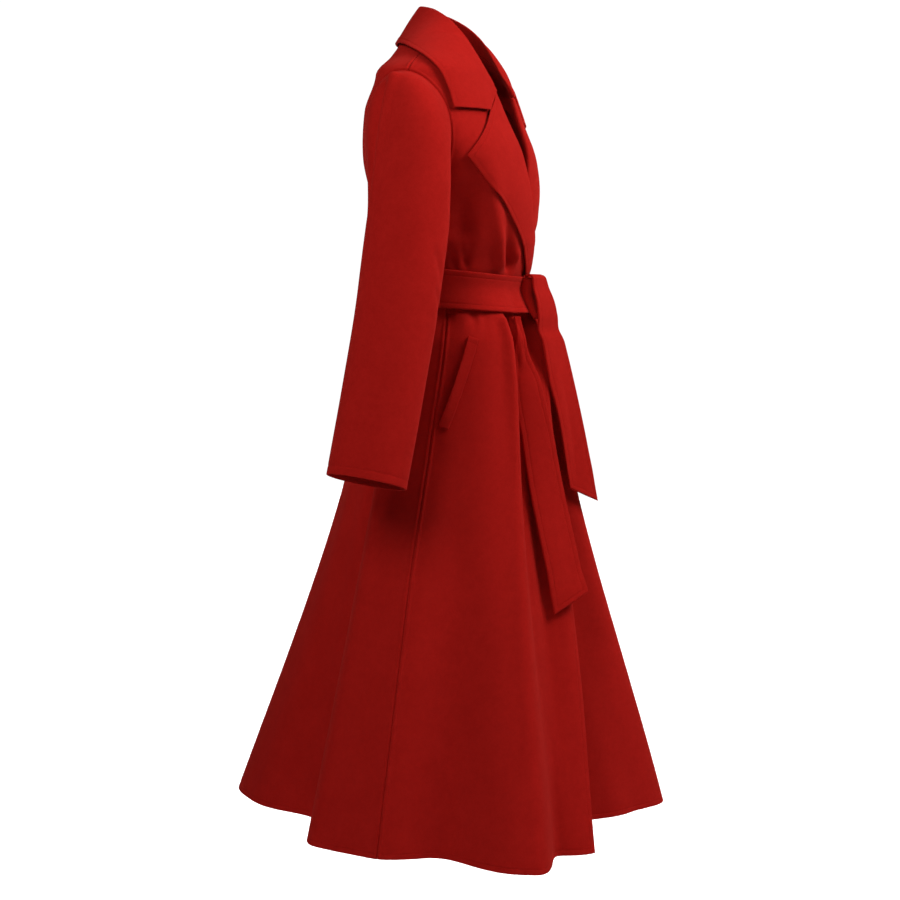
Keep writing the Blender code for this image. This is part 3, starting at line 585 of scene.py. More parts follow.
def panel_rows():
    """Heights of a panel's lower rows, and of its rows beside the armhole as if at the neck."""
    lower = HEM + (ARMPIT - HEM) * spaced(ARMPIT - HEM, EDGE_STEPS, NO_STEPS, SKIRT_ROWS)[0]
    upper = ARMPIT * (1 - spaced(-ARMPIT, ARMPIT_STEPS, SEAM_STEPS, CHEST_ROWS)[0])
    return lower, upper


def line_lengths(surface, angle_a, angle_b, height_a, height_b):
    """Length over a surface of the row between two points."""
    share = np.linspace(0, 1, LENGTH_SAMPLES)
    angle = angle_a[:, None] + (angle_b - angle_a)[:, None] * share
    height = height_a[:, None] + (height_b - height_a)[:, None] * share
    steps = np.diff(surface(angle, height), axis=1)
    return np.linalg.norm(steps, axis=-1).sum(axis=1)


def front_grid(surface, inner, mirror, columns, drop):
    """Middle points of a front, rows from hem to shoulder seam, columns from edge to side."""
    lower, upper = panel_rows()
    arm_angle, arm_height = armhole_rows(180 + (180 + SHOULDER_SEAM_TURN) * (1 - upper / ARMPIT))
    inner_height = np.concatenate((lower, upper))
    outer_height = np.concatenate((lower, arm_height))
    outer_angle = mirror * np.concatenate((smooth(SIDE_SEAM, "angle", lower, "height"), arm_angle))
    edge = inner(inner_height)
    length = line_lengths(surface, edge, outer_angle, inner_height, outer_height)
    across = spaced(length, EDGE_STEPS, SEAM_STEPS, columns)
    angle = edge[:, None] + (outer_angle - edge)[:, None] * across
    height = inner_height[:, None] + (outer_height - inner_height)[:, None] * across
    height = height + hem_shift(angle, height, drop)
    return surface(angle, height) - outward(surface, angle, height) * WALL / 2


def back_grid():
    """Middle points of the back, rows from hem to shoulder seams and neck."""
    lower, upper = panel_rows()
    rise = 1 - upper / ARMPIT
    arm_angle, arm_height = armhole_rows(180 - (180 - SHOULDER_SEAM_TURN) * rise)
    middle_height = np.concatenate((lower, ARMPIT + (COLLAR["neck_height"][0] - ARMPIT) * rise))
    side_height = np.concatenate((lower, arm_height))
    side_angle = np.concatenate((smooth(SIDE_SEAM, "angle", lower, "height"), arm_angle))
    arch = np.concatenate((0 * lower, rise ** 2))[:, None]
    length = line_lengths(form, side_angle, 180 + 0 * side_angle, side_height, middle_height)
    half = spaced(length, SEAM_STEPS, NO_STEPS, HALF_BACK_COLUMNS)
    neck_share = (half - SHOULDER_SHARE) / (1 - SHOULDER_SHARE)
    turn = (1 - arch) * half + arch * np.clip(neck_share, 0, 1)
    climb = (1 - arch) * half + arch * np.clip(half / SHOULDER_SHARE, 0, 1)
    angle = side_angle[:, None] + (180 - side_angle)[:, None] * turn
    height = side_height[:, None] + (middle_height - side_height)[:, None] * climb
    angle = np.concatenate((angle, 360 - angle[:, -2::-1]), axis=1)
    height = np.concatenate((height, height[:, -2::-1]), axis=1)
    height = height + hem_shift(angle, height, 0.0)
    return form(angle, height) - outward(form, angle, height) * WALL / 2


def sleeve_grid(middle):
    """Middle points of a sleeve on the wearer's right, rings from armhole to cuff."""
    cuff_steps = np.array(EDGE_STEPS) * CUFF_INSET / STITCH_INSET
    station = spaced(SLEEVE_LENGTH, SEAM_STEPS, cuff_steps, SLEEVE_ROWS)[0]
    degrees = np.arange(SLEEVE_SIDES) * 360.0 / SLEEVE_SIDES
    turn = np.radians(degrees)
    columns = ("outer_x", "outer_z", "inner_x", "inner_z", middle, "half_depth")
    outer_x, outer_z, inner_x, inner_z, middle_y, half_depth = (
        smooth(SLEEVE, name, station, "station")[:, None] for name in columns)
    x = -(outer_x + inner_x) / 2 - (outer_x - inner_x) / 2 * np.cos(turn)
    z = (outer_z + inner_z) / 2 + (outer_z - inner_z) / 2 * np.cos(turn)
    y = middle_y + half_depth * np.sin(turn)
    z = z + CUFF_DROP * np.sin(turn) * between(station[:, None], CUFF_DROP_FROM, 1)
    rings = np.stack((x, y, z), axis=-1)
    rim = armhole(degrees)
    rings = rings + (rim - rings[0]) * between(station, SLEEVE_HEAD, 0)[:, None, None]
    depth = crease_depth(SLEEVE_CREASES, degrees, station[:, None], SLEEVE_REACH, SLEEVE_LENGTH)
    depth = depth * between(station, 0, SLEEVE_CREASE_FROM)[:, None]
    body = outward(form, angle_of(rim), rim[:, 2])
    at_body = between(station, SLEEVE_TURN, 0)[:, None, None]
    normals = unit(tube_normals(rings) * (1 - at_body) + body * at_body)
    return rings + normals * (depth - WALL / 2)[..., None]


def fold_profile():
    """Cross section of a turned edge: distance in from the fold line, height of the cloth's middle."""
    around = np.radians(np.linspace(-90, -270, FOLD_POINTS))
    nose_along = FOLD_NOSE * np.cos(around)
    nose_height = FOLD_NOSE - WALL / 2 + FOLD_NOSE * np.sin(around)
    leg = FOLD_LEG - np.array(SEAM_STEPS[:5])
    along = np.concatenate((leg, (FOLD_LEG * 0.5, FOLD_LEG * 0.25), nose_along))
    height = np.concatenate((np.full(len(leg) + 2, -WALL / 2), nose_height))
    return along, height


def kink(reach, peak):
    """Share of a bend across a width: full at the peak, none at both sides."""
    return 1 - np.abs(reach - peak) / np.where(reach < peak, peak, 1 - peak)


def lapel_grid(surface, mirror, last_height):
    """Middle points of a lapel: rows down the fold line, columns from inner leg round to outer edge."""
    last_share = (last_height - LAPEL_TOP) / (LAPEL_BREAK - LAPEL_TOP)
    rows = spaced(LAPEL_TOP - last_height, EDGE_STEPS, SEAM_STEPS, LAPEL_ROWS)[0]
    share = (GORGE_SHARE + (last_share - GORGE_SHARE) * rows)[:, None]
    fold_height = LAPEL_TOP + (LAPEL_BREAK - LAPEL_TOP) * share
    fold_angle = smooth(RIGHT_EDGE, "angle", fold_height, "height")
    edge_angle = smooth(LAPEL_EDGE, "angle", share, "share")
    edge_height = smooth(LAPEL_EDGE, "height", share, "share")
    bend = np.clip(1 - share / LAPEL_NOTCH_FADE, 0, 1) ** 2
    along, lift = fold_profile()
    radius = np.linalg.norm(form(fold_angle, fold_height)[..., :2], axis=-1)
    width = np.hypot(np.radians(edge_angle - fold_angle) * radius, edge_height - fold_height)
    reach = spaced(width[:, 0], LAPEL_STEPS, EDGE_STEPS, LAPEL_COLUMNS)
    line_angle = fold_angle + (edge_angle - fold_angle) * reach
    line_height = fold_height + (edge_height - fold_height) * reach
    bend = bend * kink(reach, LAPEL_NOTCH_SHARE)
    top_angle = smooth(RIGHT_EDGE, "angle", LAPEL_TOP, "height")
    straight_angle = top_angle + (LAPEL_EDGE["angle"][0] - top_angle) * LAPEL_NOTCH_SHARE
    straight_height = LAPEL_TOP + (LAPEL_EDGE["height"][0] - LAPEL_TOP) * LAPEL_NOTCH_SHARE
    line_angle = line_angle + bend * (LAPEL_NOTCH[0] - straight_angle)
    line_height = line_height + bend * (LAPEL_NOTCH[1] - straight_height)
    lift_line = LAPEL_LIFT + (LAPEL_EDGE_LIFT - LAPEL_LIFT) * reach
    angle = np.concatenate((fold_angle + np.degrees(along / radius), line_angle), axis=1)
    height = np.concatenate((fold_height + 0 * along, line_height), axis=1)
    lift = np.concatenate((lift + 0 * share, lift_line), axis=1)
    return moved_out(surface, mirror * angle, height, lift)


def collar_half(surface, mirror):
    """Middle points of half the collar: columns from centre back to gorge, rows from neck to outer edge."""
    fine = np.linspace(COLLAR_SHOULDER, 1, GORGE_SAMPLES)
    neck = smooth(COLLAR, "neck_height", fine, "station")
    last = np.interp(-(LAPEL_TOP + GORGE_GAP), -neck, fine)
    front = spaced(COLLAR_FRONT_LENGTH, NO_STEPS, EDGE_STEPS, COLLAR_COLUMNS)[0]
    front = COLLAR_SHOULDER + (last - COLLAR_SHOULDER) * front
    station = np.concatenate((np.linspace(0, COLLAR_SHOULDER, COLLAR_COLUMNS), front[1:]))
    value = {name: smooth(COLLAR, name, station, "station") for name in COLLAR if name != "station"}
    neck_angle = np.where(value["neck_height"] < 0, right_edge(value["neck_height"]), value["neck_angle"])
    normal = outward(surface, mirror * neck_angle, value["neck_height"])
    seam = surface(mirror * neck_angle, value["neck_height"]) - normal * WALL / 2
    start, full, fade, end = LEFT_COLLAR_STATIONS
    back = LEFT_COLLAR_BACK * (mirror < 0) * between(station, start, full) * between(station, end, fade)
    fold = np.stack((-mirror * value["fold_x"], value["fold_y"] + back, value["fold_z"]), axis=-1)
    edge = moved_out(surface, mirror * value["edge_angle"], value["edge_height"], COLLAR_EDGE_LIFT)
    stand = unit(seam - fold)
    fall = unit(edge - fold)
    spread = unit(fall - stand)
    top = -unit(stand + fall)
    top = unit(top - spread * np.sum(top * spread, axis=1, keepdims=True))
    centre = fold - top * FOLD_NOSE
    foot = seam - stand * COLLAR_SEAM_GAP
    rise = centre - spread * FOLD_NOSE - foot
    up = spaced(COLLAR_STAND_LENGTH, SEAM_STEPS, COLLAR_STEPS, COLLAR_STAND_ROWS)[0]
    rows = [foot + rise * share for share in up]
    for around in np.radians(np.linspace(180, 0, FOLD_POINTS)):
        rows.append(centre + FOLD_NOSE * (spread * np.cos(around) + top * np.sin(around)))
    turn = centre + spread * FOLD_NOSE
    notch = moved_out(surface, mirror * LAPEL_NOTCH[0], LAPEL_NOTCH[1], LAPEL_LIFT)
    bend = between(station, COLLAR_NOTCH_FROM, 1)[:, None]
    bend_to = notch - (turn[-1] + (edge[-1] - turn[-1]) * COLLAR_NOTCH_SHARE)
    out = unit(spread + top)
    width = np.linalg.norm(edge - turn, axis=-1)
    for reach in spaced(width, COLLAR_STEPS, EDGE_STEPS, COLLAR_FALL_ROWS).T[..., None]:
        crown = COLLAR_BULGE * 4 * reach * (1 - reach) * (1 - bend)
        notched = bend * kink(reach, COLLAR_NOTCH_SHARE) * bend_to
        line = turn + (edge - turn) * reach + out * crown + notched
        rows.append(rested(line, COLLAR_EDGE_LIFT, surface))
    return np.stack(rows, axis=0)


def collar_grid():
    """Middle points of the collar: columns from right gorge round to left."""
    right = collar_half(form, 1)
    left = collar_half(left_form, -1)
    return np.concatenate((right[:, ::-1], left[:, 1:]), axis=1)


def welt_grid(mirror):
    """Middle points of a pocket welt laid on the front."""
    down = spaced(WELT_LENGTH, EDGE_STEPS[:9], EDGE_STEPS[:9], WELT_ROWS)[0][:, None]
    angle = WELT_TOP[0] + (WELT_LOW[0] - WELT_TOP[0]) * down
    height = WELT_TOP[1] + (WELT_LOW[1] - WELT_TOP[1]) * down
    reach = np.linalg.norm(form(angle, height)[..., :2], axis=-1)
    across = (spaced(WELT_WIDTH, SEAM_STEPS, SEAM_STEPS, WELT_COLUMNS)[0] - 0.5) * WELT_WIDTH
    slant = np.arctan2(np.radians(WELT_LOW[0] - WELT_TOP[0]) * reach.mean(), WELT_TOP[1] - WELT_LOW[1])
    angle = angle + np.degrees(across * np.cos(slant) / reach)
    height = height + across * np.sin(slant)
    gape = WELT_GAPE * 4 * down * (1 - down) * ease(across / WELT_WIDTH + 0.5)
    return moved_out(form, mirror * angle, height, WELT_CLEAR + WELT_WALL / 2 + gape)


def belt_grid():
    """Middle points of the belt round the waist."""
    angle = np.linspace(BELT_ENDS[0], BELT_ENDS[1], BELT_ROWS)[:, None]
    across = spaced(BELT_WIDTH, EDGE_STEPS, EDGE_STEPS, BELT_COLUMNS)[0] - 0.5
    height = belt_middle(angle) + across * BELT_WIDTH
    return moved_out(uncreased, angle + 0 * height, height, BELT_CLEAR + BELT_WALL / 2 + 0 * height)


def facing(angle):
    """Level unit vectors that look out at an angle, and along a panel towards the wearer's right."""
    turn = np.radians(angle)
    ahead = np.stack((-np.sin(turn), -np.cos(turn), 0 * turn), axis=-1)
    along = np.stack((-np.cos(turn), np.sin(turn), 0 * turn), axis=-1)
    return ahead, along


def tail_grid(tail, slant):
    """Middle points of a belt end: rows down its length, columns across it."""
    share = spaced(TAIL_LENGTH, SEAM_STEPS, EDGE_STEPS, TAIL_ROWS)[0][:, None]
    value = {name: smooth(tail, name, share, "share") for name in tail if name != "share"}
    across = spaced(2 * value["half"][:, 0], EDGE_STEPS, EDGE_STEPS, TAIL_COLUMNS) * 2 - 1
    ahead, _ = facing(value["angle"])
    _, along = facing(value["face"])
    middle = uncreased(value["angle"], value["height"]) + ahead * value["out"][..., None]
    points = middle + along * (across * value["half"])[..., None]
    points[..., 2] += across * slant * between(share, TAIL_SLANT_FROM, 1)
    return rested(points, TAIL_LIFT)


def knot_faces():
    """Front and back points of the knot, which lies over the belt's ends."""
    up = np.linspace(-1, 1, KNOT_POINTS)[:, None]
    across = np.linspace(-1, 1, KNOT_POINTS)
    height = np.float64(belt_middle(KNOT_ANGLE) - KNOT_DROP)
    ahead, _ = facing(np.float64(KNOT_ANGLE))
    _, along = facing(np.float64(KNOT_FACE))
    sideways = across * KNOT_HALF_WIDTH * (1 - KNOT_ROUNDING * up ** 2)
    upward = up * KNOT_HALF_HEIGHT * (1 - KNOT_ROUNDING * across ** 2)
    flat = uncreased(np.float64(KNOT_ANGLE), height) + along * sideways[..., None]
    flat = flat + np.array((0.0, 0.0, 1.0)) * upward[..., None]
    back = rested(flat, KNOT_BACK, uncreased)
    crown = np.sqrt((1 - up ** KNOT_SQUARENESS) * (1 - across ** KNOT_SQUARENESS))
    rise = KNOT_RIM + KNOT_CROWN * (1 + KNOT_TAPER * up) * crown
    return back + ahead * (rise * crown ** 0.5)[..., None], back


def grid_normals(points, wrapped=False):
    """Normals of a grid of points, rows by columns."""
    if wrapped:
        across = np.roll(points, -1, axis=1) - np.roll(points, 1, axis=1)
    else:
        across = np.gradient(points, axis=1)
    return unit(np.cross(np.gradient(points, axis=0), across))


def tube_normals(points):
    """Normals of a tube of rings that point out of it."""
    normals = grid_normals(points, wrapped=True)
    side = np.sum(normals * (points - points.mean(axis=1, keepdims=True)), axis=-1).mean()
    return normals * np.sign(side)


def posed(points):
    """Points in the worn pose, with the left shoulder drawn back."""
    x, y, z = np.moveaxis(points, -1, 0)
    level = between(z, *LEFT_BACK_TOP) * between(z, *LEFT_BACK_LOW)
    return np.stack((x, y + LEFT_BACK * between(x, *LEFT_BACK_SIDE) * level, z), axis=-1)


def distances(points, axis):
    """Distance of each grid point from the first and the last line across an axis."""
    steps = np.linalg.norm(np.diff(points, axis=axis), axis=-1)
    pad = [(0, 0), (0, 0)]
    pad[axis] = (1, 0)
    run = np.cumsum(np.pad(steps, pad), axis=axis)
    return run, np.take(run, [-1], axis=axis) - run


def two_faced(rows, columns, wrapped=False):
    """Point numbers of a front and a back grid that share their rim, and which points lie inside it."""
    front = np.arange(rows * columns).reshape(rows, columns)
    inside = np.zeros((rows, columns), bool)
    inside[1:-1, slice(None) if wrapped else slice(1, -1)] = True
    back = front.copy()
    back[inside] = rows * columns + np.arange(inside.sum())
    return front, back, inside


def add_shell(name, middle, wall, stitched=(), seamed=(), wrapped=False, inset=STITCH_INSET):
    """Cloth of a thickness about a grid of points: rounded edges, some stitched and some seamed."""
    rows, columns = middle.shape[:2]
    from_row = distances(middle, 0)
    from_column = (np.full((rows, columns), 1.0),) * 2 if wrapped else distances(middle, 1)
    away = dict(zip(SIDES, from_row + from_column))
    along = {"first_row": from_column[0], "last_row": from_column[0],
             "first_column": from_row[0], "last_column": from_row[0]}
    if wrapped:
        around = np.linalg.norm(np.roll(middle, -1, axis=1) - middle, axis=-1)
        along["last_row"] = np.cumsum(around, axis=1)
    nearest = np.minimum.reduce(list(away.values()))
    rim = np.clip(nearest / (wall / 2), 0, 1)
    half = wall / 2 * np.sqrt(1 - (1 - rim) ** 2)
    edge = np.full((rows, columns), 1.0)
    run = np.zeros((rows, columns))
    for side in stitched:
        closer = away[side] < edge
        run = np.where(closer, along[side], run)
        edge = np.where(closer, away[side], edge)
    edge = edge * STITCH_INSET / inset
    sink = STITCH_SINK * np.exp(-((edge - STITCH_INSET) / STITCH_WIDTH) ** 2)
    normals = grid_normals(middle, wrapped)
    if wrapped:
        radial = middle - middle.mean(axis=1, keepdims=True)
    else:
        radial = middle * (1.0, 1.0, 0.0)
    weight = np.exp(-edge / STITCH_SIDE_REACH) if stitched else 1.0
    side = np.sign(np.sum(np.sum(normals * radial, axis=-1) * weight))
    normals = normals * side
    ridge = np.zeros((rows, columns))
    for seam in seamed:
        off_seam = (away[seam] - SEAM_RIDGE_AT) / SEAM_RIDGE_WIDTH
        ridge = np.maximum(ridge, SEAM_RIDGE * np.exp(-off_seam ** 2))
    outer = middle + normals * np.maximum(half - sink + ridge * rim, half * LEAST_HALF_WALL)[..., None]
    inner = middle - normals * half[..., None]
    outer_ids, inner_ids, inside = two_faced(rows, columns, wrapped)
    points = np.concatenate((outer.reshape(-1, 3), inner[inside]))
    faces = np.concatenate((quads(outer_ids, wrapped, side > 0), quads(inner_ids, wrapped, side < 0)))
    edge_value = np.concatenate((edge.reshape(-1), np.full(inside.sum(), 1.0)))
    run_value = np.concatenate((run.reshape(-1), np.zeros(inside.sum())))
    return add_piece(name, points, faces, edge_value, run_value)


def quads(ids, wrapped, flipped):
    """Faces of a grid of point numbers."""
    if wrapped:
        ids = np.concatenate((ids, ids[:, :1]), axis=1)
    corners = (ids[:-1, :-1], ids[:-1, 1:], ids[1:, 1:], ids[1:, :-1])
    faces = np.stack([corner.reshape(-1) for corner in corners], axis=-1)
    return faces[:, ::-1] if flipped else faces


def add_piece(name, points, faces, edge_value, run_value):
    """Smooth mesh with its distance from a stitched edge and its run along it."""
    mesh = bpy.data.meshes.new(name)
    mesh.from_pydata(posed(points).tolist(), [], faces.tolist())
    mesh.attributes.new("edge", "FLOAT", "POINT").data.foreach_set("value", edge_value.astype(np.float32))
    mesh.attributes.new("run", "FLOAT", "POINT").data.foreach_set("value", run_value.astype(np.float32))
    mesh.shade_smooth()
    piece = bpy.data.objects.new(name, mesh)
    bpy.context.scene.collection.objects.link(piece)
    return piece


def add_knot(name):
    """Closed knot between its two faces, which meet at the rim."""
    front, back = knot_faces()
    front_ids, back_ids, inside = two_faced(*front.shape[:2])
    points = np.concatenate((front.reshape(-1, 3), back[inside]))
    faces = np.concatenate((quads(front_ids, False, True), quads(back_ids, False, False)))
    return add_piece(name, points, faces, np.full(len(points), 1.0), np.zeros(len(points)))


def node(tree, kind, **inputs):
    """Shader node with values or links for its inputs, by name or as in0, in1 and so on."""
    made = tree.nodes.new(kind)
    for key, value in inputs.items():
        numbered = key.startswith("in")
        socket = made.inputs[int(key[2:]) if numbered else key.replace("_", " ")]
        if isinstance(value, bpy.types.NodeSocket):
            tree.links.new(value, socket)
        else:
            socket.default_value = value
    return made


def math(tree, operation, a, b=0.0, c=0.0):
    """Output of a node that works out one sum."""
    made = node(tree, "ShaderNodeMath", in0=a, in1=b, in2=c)
    made.operation = operation
    return made.outputs[0]


# Wool: its darkest and lightest dye with the tones where they are reached, and its sheen
WOOL_DARK = (0.350, 0.0086, 0.0064, 1.0)
WOOL_LIGHT = (0.480, 0.0135, 0.0104, 1.0)
WOOL_DARK_TONE = 0.30
WOOL_LIGHT_TONE = 0.82
WOOL_SHEEN = (1.0, 0.30, 0.25, 1.0)
SHEEN_WEIGHT = 0.08
SHEEN_ROUGHNESS = 0.45

# Noises in the wool: scale, detail, roughness
CLOUD_NOISE = (26.0, 3.0, 0.55)
MOTTLE_NOISE = (120.0, 2.0, 0.5)
FELT_NOISE = (420.0, 4.0, 0.7)
FIBRE_NOISE = (1300.0, 2.0, 0.6)
FIBRE_STRETCH = (1.0, 1.0, 0.35)

# What each noise and the sewing thread add to the tone, the roughness and the relief
CLOUD_TONE = 0.30
MOTTLE_TONE = 0.30
FELT_TONE = 0.55
THREAD_TONE = -0.12
LEAST_TONE = -0.03
FELT_ROUGHNESS = 0.16
LEAST_ROUGHNESS = 0.80
FIBRE_RELIEF = 0.6
THREAD_RELIEF = 0.8
RELIEF_STRENGTH = 0.30
RELIEF_DEPTH = 0.0005

# Stitches: half width of the thread, length of a stitch with its gap, share that is thread
THREAD_HALF_WIDTH = 0.0007
STITCH_LENGTH = 0.0042
STITCH_SHARE = 0.72


def noise(tree, place, sizes):
    """Output of a noise at a place, with its scale, detail and roughness."""
    scale, detail, roughness = sizes
    made = node(tree, "ShaderNodeTexNoise", Vector=place, Scale=scale, Detail=detail, Roughness=roughness)
    return made.outputs["Fac"]


def attribute(tree, name):
    """Output of a value that the mesh carries."""
    made = node(tree, "ShaderNodeAttribute")
    made.attribute_name = name
    return made.outputs["Fac"]


def wool_material(name):
    """Felted wool: mottled dye, short fibres, a soft sheen, and stitches along sewn edges."""
    material = bpy.data.materials.new(name)
    material.use_nodes = True
    tree = material.node_tree
    shader = tree.nodes["Principled BSDF"]
    place = node(tree, "ShaderNodeTexCoord").outputs["Object"]
    cloud = noise(tree, place, CLOUD_NOISE)
    mottle = noise(tree, place, MOTTLE_NOISE)
    felt = noise(tree, place, FELT_NOISE)
    fibre_place = node(tree, "ShaderNodeMapping", Vector=place, Scale=FIBRE_STRETCH)
    fibre = noise(tree, fibre_place.outputs[0], FIBRE_NOISE)
    off_line = math(tree, "ABSOLUTE", math(tree, "SUBTRACT", attribute(tree, "edge"), STITCH_INSET))
    on_line = math(tree, "LESS_THAN", off_line, THREAD_HALF_WIDTH)
    step = math(tree, "FRACT", math(tree, "DIVIDE", attribute(tree, "run"), STITCH_LENGTH))
    thread = math(tree, "MULTIPLY", on_line, math(tree, "LESS_THAN", step, STITCH_SHARE))
    tone = math(tree, "MULTIPLY_ADD", cloud, CLOUD_TONE, LEAST_TONE)
    tone = math(tree, "MULTIPLY_ADD", mottle, MOTTLE_TONE, tone)
    tone = math(tree, "MULTIPLY_ADD", felt, FELT_TONE, tone)
    tone = math(tree, "MULTIPLY_ADD", thread, THREAD_TONE, tone)
    dye = node(tree, "ShaderNodeValToRGB", Fac=tone)
    dark, light = dye.color_ramp.elements
    dark.position, dark.color = WOOL_DARK_TONE, WOOL_DARK
    light.position, light.color = WOOL_LIGHT_TONE, WOOL_LIGHT
    tree.links.new(dye.outputs["Color"], shader.inputs["Base Color"])
    rough = math(tree, "MULTIPLY_ADD", felt, FELT_ROUGHNESS, LEAST_ROUGHNESS)
    tree.links.new(rough, shader.inputs["Roughness"])
    relief = math(tree, "MULTIPLY_ADD", fibre, FIBRE_RELIEF, felt)
    relief = math(tree, "MULTIPLY_ADD", thread, THREAD_RELIEF, relief)
    raised = node(tree, "ShaderNodeBump", Strength=RELIEF_STRENGTH, Distance=RELIEF_DEPTH, Height=relief)
    tree.links.new(raised.outputs["Normal"], shader.inputs["Normal"])
    shader.inputs["Specular IOR Level"].default_value = 0.0
    shader.inputs["Sheen Weight"].default_value = SHEEN_WEIGHT
    shader.inputs["Sheen Roughness"].default_value = SHEEN_ROUGHNESS
    shader.inputs["Sheen Tint"].default_value = WOOL_SHEEN
    return material


def build_cloth():
    """Every piece of the coat, fixed to the root and standing in for the node of its name, which is hidden.
    """
    front_sides = ("first_row", "first_column"), ("last_column", "last_row")
    back_sides = ("first_row",), ("first_column", "last_column", "last_row")
    sleeve_sides = ("last_row",), ("first_row",)
    lapel_sides = ("last_column", "first_row")
    collar_sides = ("last_row", "first_column", "last_column")
    welt_sides = ("first_row", "last_row")
    belt_sides = ("first_column", "last_column")
    tail_sides = ("first_column", "last_column", "last_row")
    right_front = front_grid(form, right_edge, 1, RIGHT_COLUMNS, HEM_DROP)
    left_front = front_grid(left_form, left_edge, -1, LEFT_COLUMNS, LEFT_HEM_DROP)
    pieces = {
        "back": add_shell("cloth_back", back_grid(), WALL, *back_sides),
        "front_right": add_shell("cloth_front_right", right_front, WALL, *front_sides),
        "front_left": add_shell("cloth_front_left", left_front, WALL, *front_sides),
        "sleeve_right": add_shell(
            "cloth_sleeve_right", sleeve_grid("middle_y"), WALL, *sleeve_sides, True, CUFF_INSET),
        "sleeve_left": add_shell(
            "cloth_sleeve_left", sleeve_grid("left_y") * TO_LEFT, WALL, *sleeve_sides, True, CUFF_INSET),
        "collar": add_shell("cloth_collar", collar_grid(), WALL, collar_sides),
        "lapel_right": add_shell("cloth_lapel_right", lapel_grid(form, 1, LAPEL_BREAK), WALL, lapel_sides),
        "lapel_left": add_shell(
            "cloth_lapel_left", lapel_grid(left_form, -1, LEFT_LAPEL_END), WALL, lapel_sides),
        "pocket_welt_right": add_shell("cloth_welt_right", welt_grid(1), WELT_WALL, welt_sides),
        "pocket_welt_left": add_shell("cloth_welt_left", welt_grid(-1), WELT_WALL, welt_sides),
        "belt_band": add_shell("cloth_belt_band", belt_grid(), BELT_WALL, belt_sides),
        "belt_knot": add_knot("cloth_belt_knot"),
        "belt_tail_near": add_shell(
            "cloth_tail_near", tail_grid(NEAR_TAIL, NEAR_TAIL_SLANT), BELT_WALL, tail_sides),
        "belt_tail_far": add_shell(
            "cloth_tail_far", tail_grid(FAR_TAIL, FAR_TAIL_SLANT), BELT_WALL, tail_sides),
    }
    finishes = {slot: wool_material(slot) for slot in ("coat_wool", "belt_wool")}
    for name, piece in pieces.items():
        slot = "belt_wool" if name.startswith("belt") else "coat_wool"
        piece.data.materials.append(finishes[slot])
        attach(piece, "root")
        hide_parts(name)
    return pieces


# Camera: where it stands, how far it looks down, lens in millimetres
CAMERA_PLACE = (-2.4287, -0.9825, -0.394)
CAMERA_DIP = 5.07
CAMERA_LENS = 67.6
CAMERA_SENSOR = 36.0


def add_camera():
    data = bpy.data.cameras.new("camera")
    data.lens = CAMERA_LENS
    data.sensor_width = CAMERA_SENSOR
    camera = bpy.data.objects.new("camera", data)
    camera.location = CAMERA_PLACE
    level = -Vector((CAMERA_PLACE[0], CAMERA_PLACE[1], 0.0)).normalized()
    ahead = level * np.cos(np.radians(CAMERA_DIP)) - Vector((0, 0, np.sin(np.radians(CAMERA_DIP))))
    camera.rotation_euler = ahead.to_track_quat("-Z", "Y").to_euler()
    bpy.context.scene.collection.objects.link(camera)
    bpy.context.scene.camera = camera


def add_light(name, place, aim, size, power):
    """Soft disk light that looks at a point."""
    data = bpy.data.lights.new(name, "AREA")
    data.shape = "DISK"
    data.size = size
    data.energy = power
    lamp = bpy.data.objects.new(name, data)
    lamp.location = place
    lamp.rotation_euler = (Vector(aim) - Vector(place)).to_track_quat("-Z", "Y").to_euler()
    bpy.context.scene.collection.objects.link(lamp)
    return lamp


# Studio: soft lights by the angle round the coat, height angle, size and power; all look at the middle
LIGHTS = {
    "key": (-16, 34, 1.2, 46),
    "top": (12, 65, 1.2, 7),
    "side": (96, 25, 1.2, 22.8),
}
LIGHT_AIM = (0.0, 0.0, -0.15)
LIGHT_REACH = 2.1

# Floor of pale paper
FLOOR_HEIGHT = -1.55
FLOOR_HALF = 7.0
PAPER_COLOUR = (0.93, 0.93, 0.93, 1)
PAPER_ROUGHNESS = 0.9

# Backdrop: strength of the room and of the white part, cosines of its edge, and the light on its floor
ROOM_STRENGTH = 0.02
BACKDROP_STRENGTH = 1.05
BACKDROP_CONE = (0.80, 0.88)
BACKDROP_LIGHT_SIZE = 10.0
BACKDROP_LIGHT_POWER = 420
BACKDROP_LIGHT_BEHIND = 5.45
BACKDROP_LIGHT_HEIGHT = 1.4
BACKDROP_LIGHT_SPREAD = 12


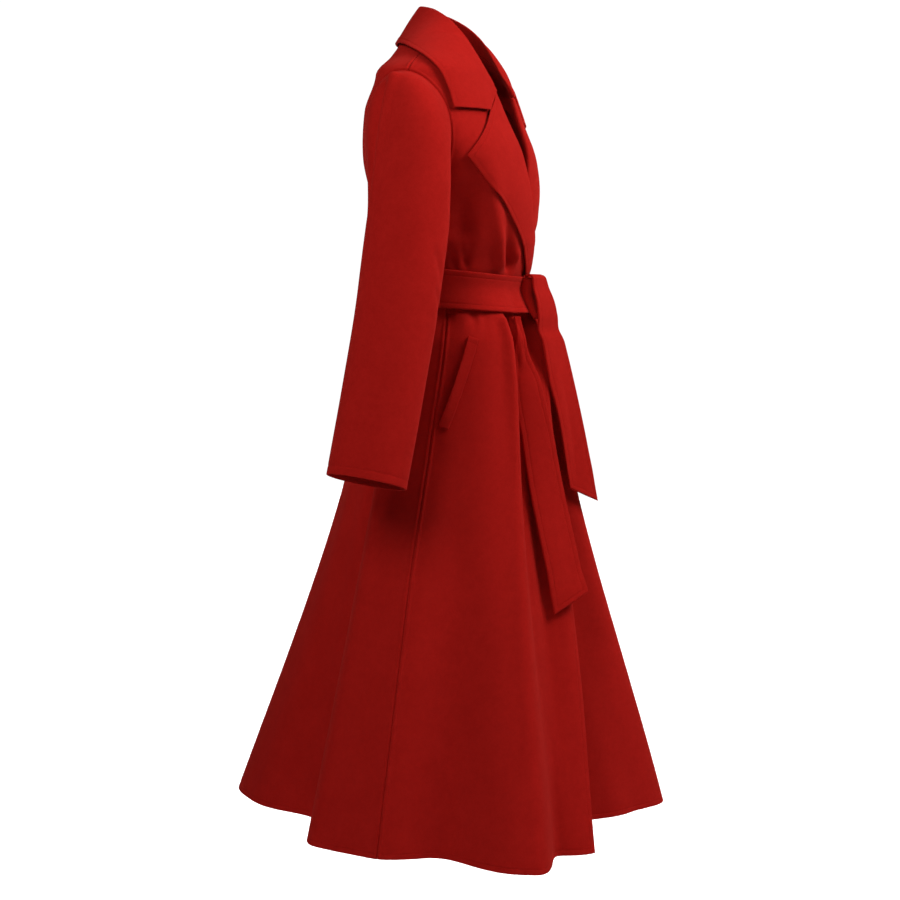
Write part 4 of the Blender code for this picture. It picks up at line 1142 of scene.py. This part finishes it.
def add_floor():
    half = FLOOR_HALF
    corners = [(-half, -half, 0), (half, -half, 0), (half, half, 0), (-half, half, 0)]
    mesh = bpy.data.meshes.new("floor")
    mesh.from_pydata(corners, [], [(0, 1, 2, 3)])
    floor = bpy.data.objects.new("floor", mesh)
    floor.location = (0, 0, FLOOR_HEIGHT)
    material = bpy.data.materials.new("floor_paper")
    material.use_nodes = True
    paper = material.node_tree.nodes["Principled BSDF"]
    paper.inputs["Base Color"].default_value = PAPER_COLOUR
    paper.inputs["Roughness"].default_value = PAPER_ROUGHNESS
    mesh.materials.append(material)
    bpy.context.scene.collection.objects.link(floor)


def add_surroundings(behind):
    """Dim grey room with a white backdrop in one direction."""
    world = bpy.data.worlds.new("studio")
    world.use_nodes = True
    tree = world.node_tree
    direction = node(tree, "ShaderNodeTexCoord").outputs["Generated"]
    toward = node(tree, "ShaderNodeVectorMath", in0=direction, in1=behind)
    toward.operation = "DOT_PRODUCT"
    white = node(tree, "ShaderNodeMapRange", Value=toward.outputs["Value"], From_Min=BACKDROP_CONE[0],
                 From_Max=BACKDROP_CONE[1], To_Min=ROOM_STRENGTH, To_Max=BACKDROP_STRENGTH)
    tree.links.new(white.outputs["Result"], tree.nodes["Background"].inputs["Strength"])
    tree.nodes["Background"].inputs["Color"].default_value = (1, 1, 1, 1)
    bpy.context.scene.world = world


def add_studio():
    """Pale floor, white backdrop behind the coat and soft lights."""
    add_floor()
    away = -Vector((CAMERA_PLACE[0], CAMERA_PLACE[1], 0.0)).normalized()
    add_surroundings(away)
    aim = Vector(LIGHT_AIM)
    for name, (angle, rise, size, power) in LIGHTS.items():
        ahead, _ = facing(np.float64(angle))
        toward = Vector(ahead) * np.cos(np.radians(rise)) + Vector((0, 0, np.sin(np.radians(rise))))
        add_light(name, aim + LIGHT_REACH * toward, aim, size, power)
    above = away * BACKDROP_LIGHT_BEHIND + Vector((0, 0, BACKDROP_LIGHT_HEIGHT))
    below = above - Vector((0, 0, 1))
    backdrop = add_light("backdrop", above, below, BACKDROP_LIGHT_SIZE, BACKDROP_LIGHT_POWER)
    backdrop.data.spread = np.radians(BACKDROP_LIGHT_SPREAD)
    bpy.context.scene.view_settings.view_transform = "Standard"


cloth = build_cloth()
add_camera()
add_studio()
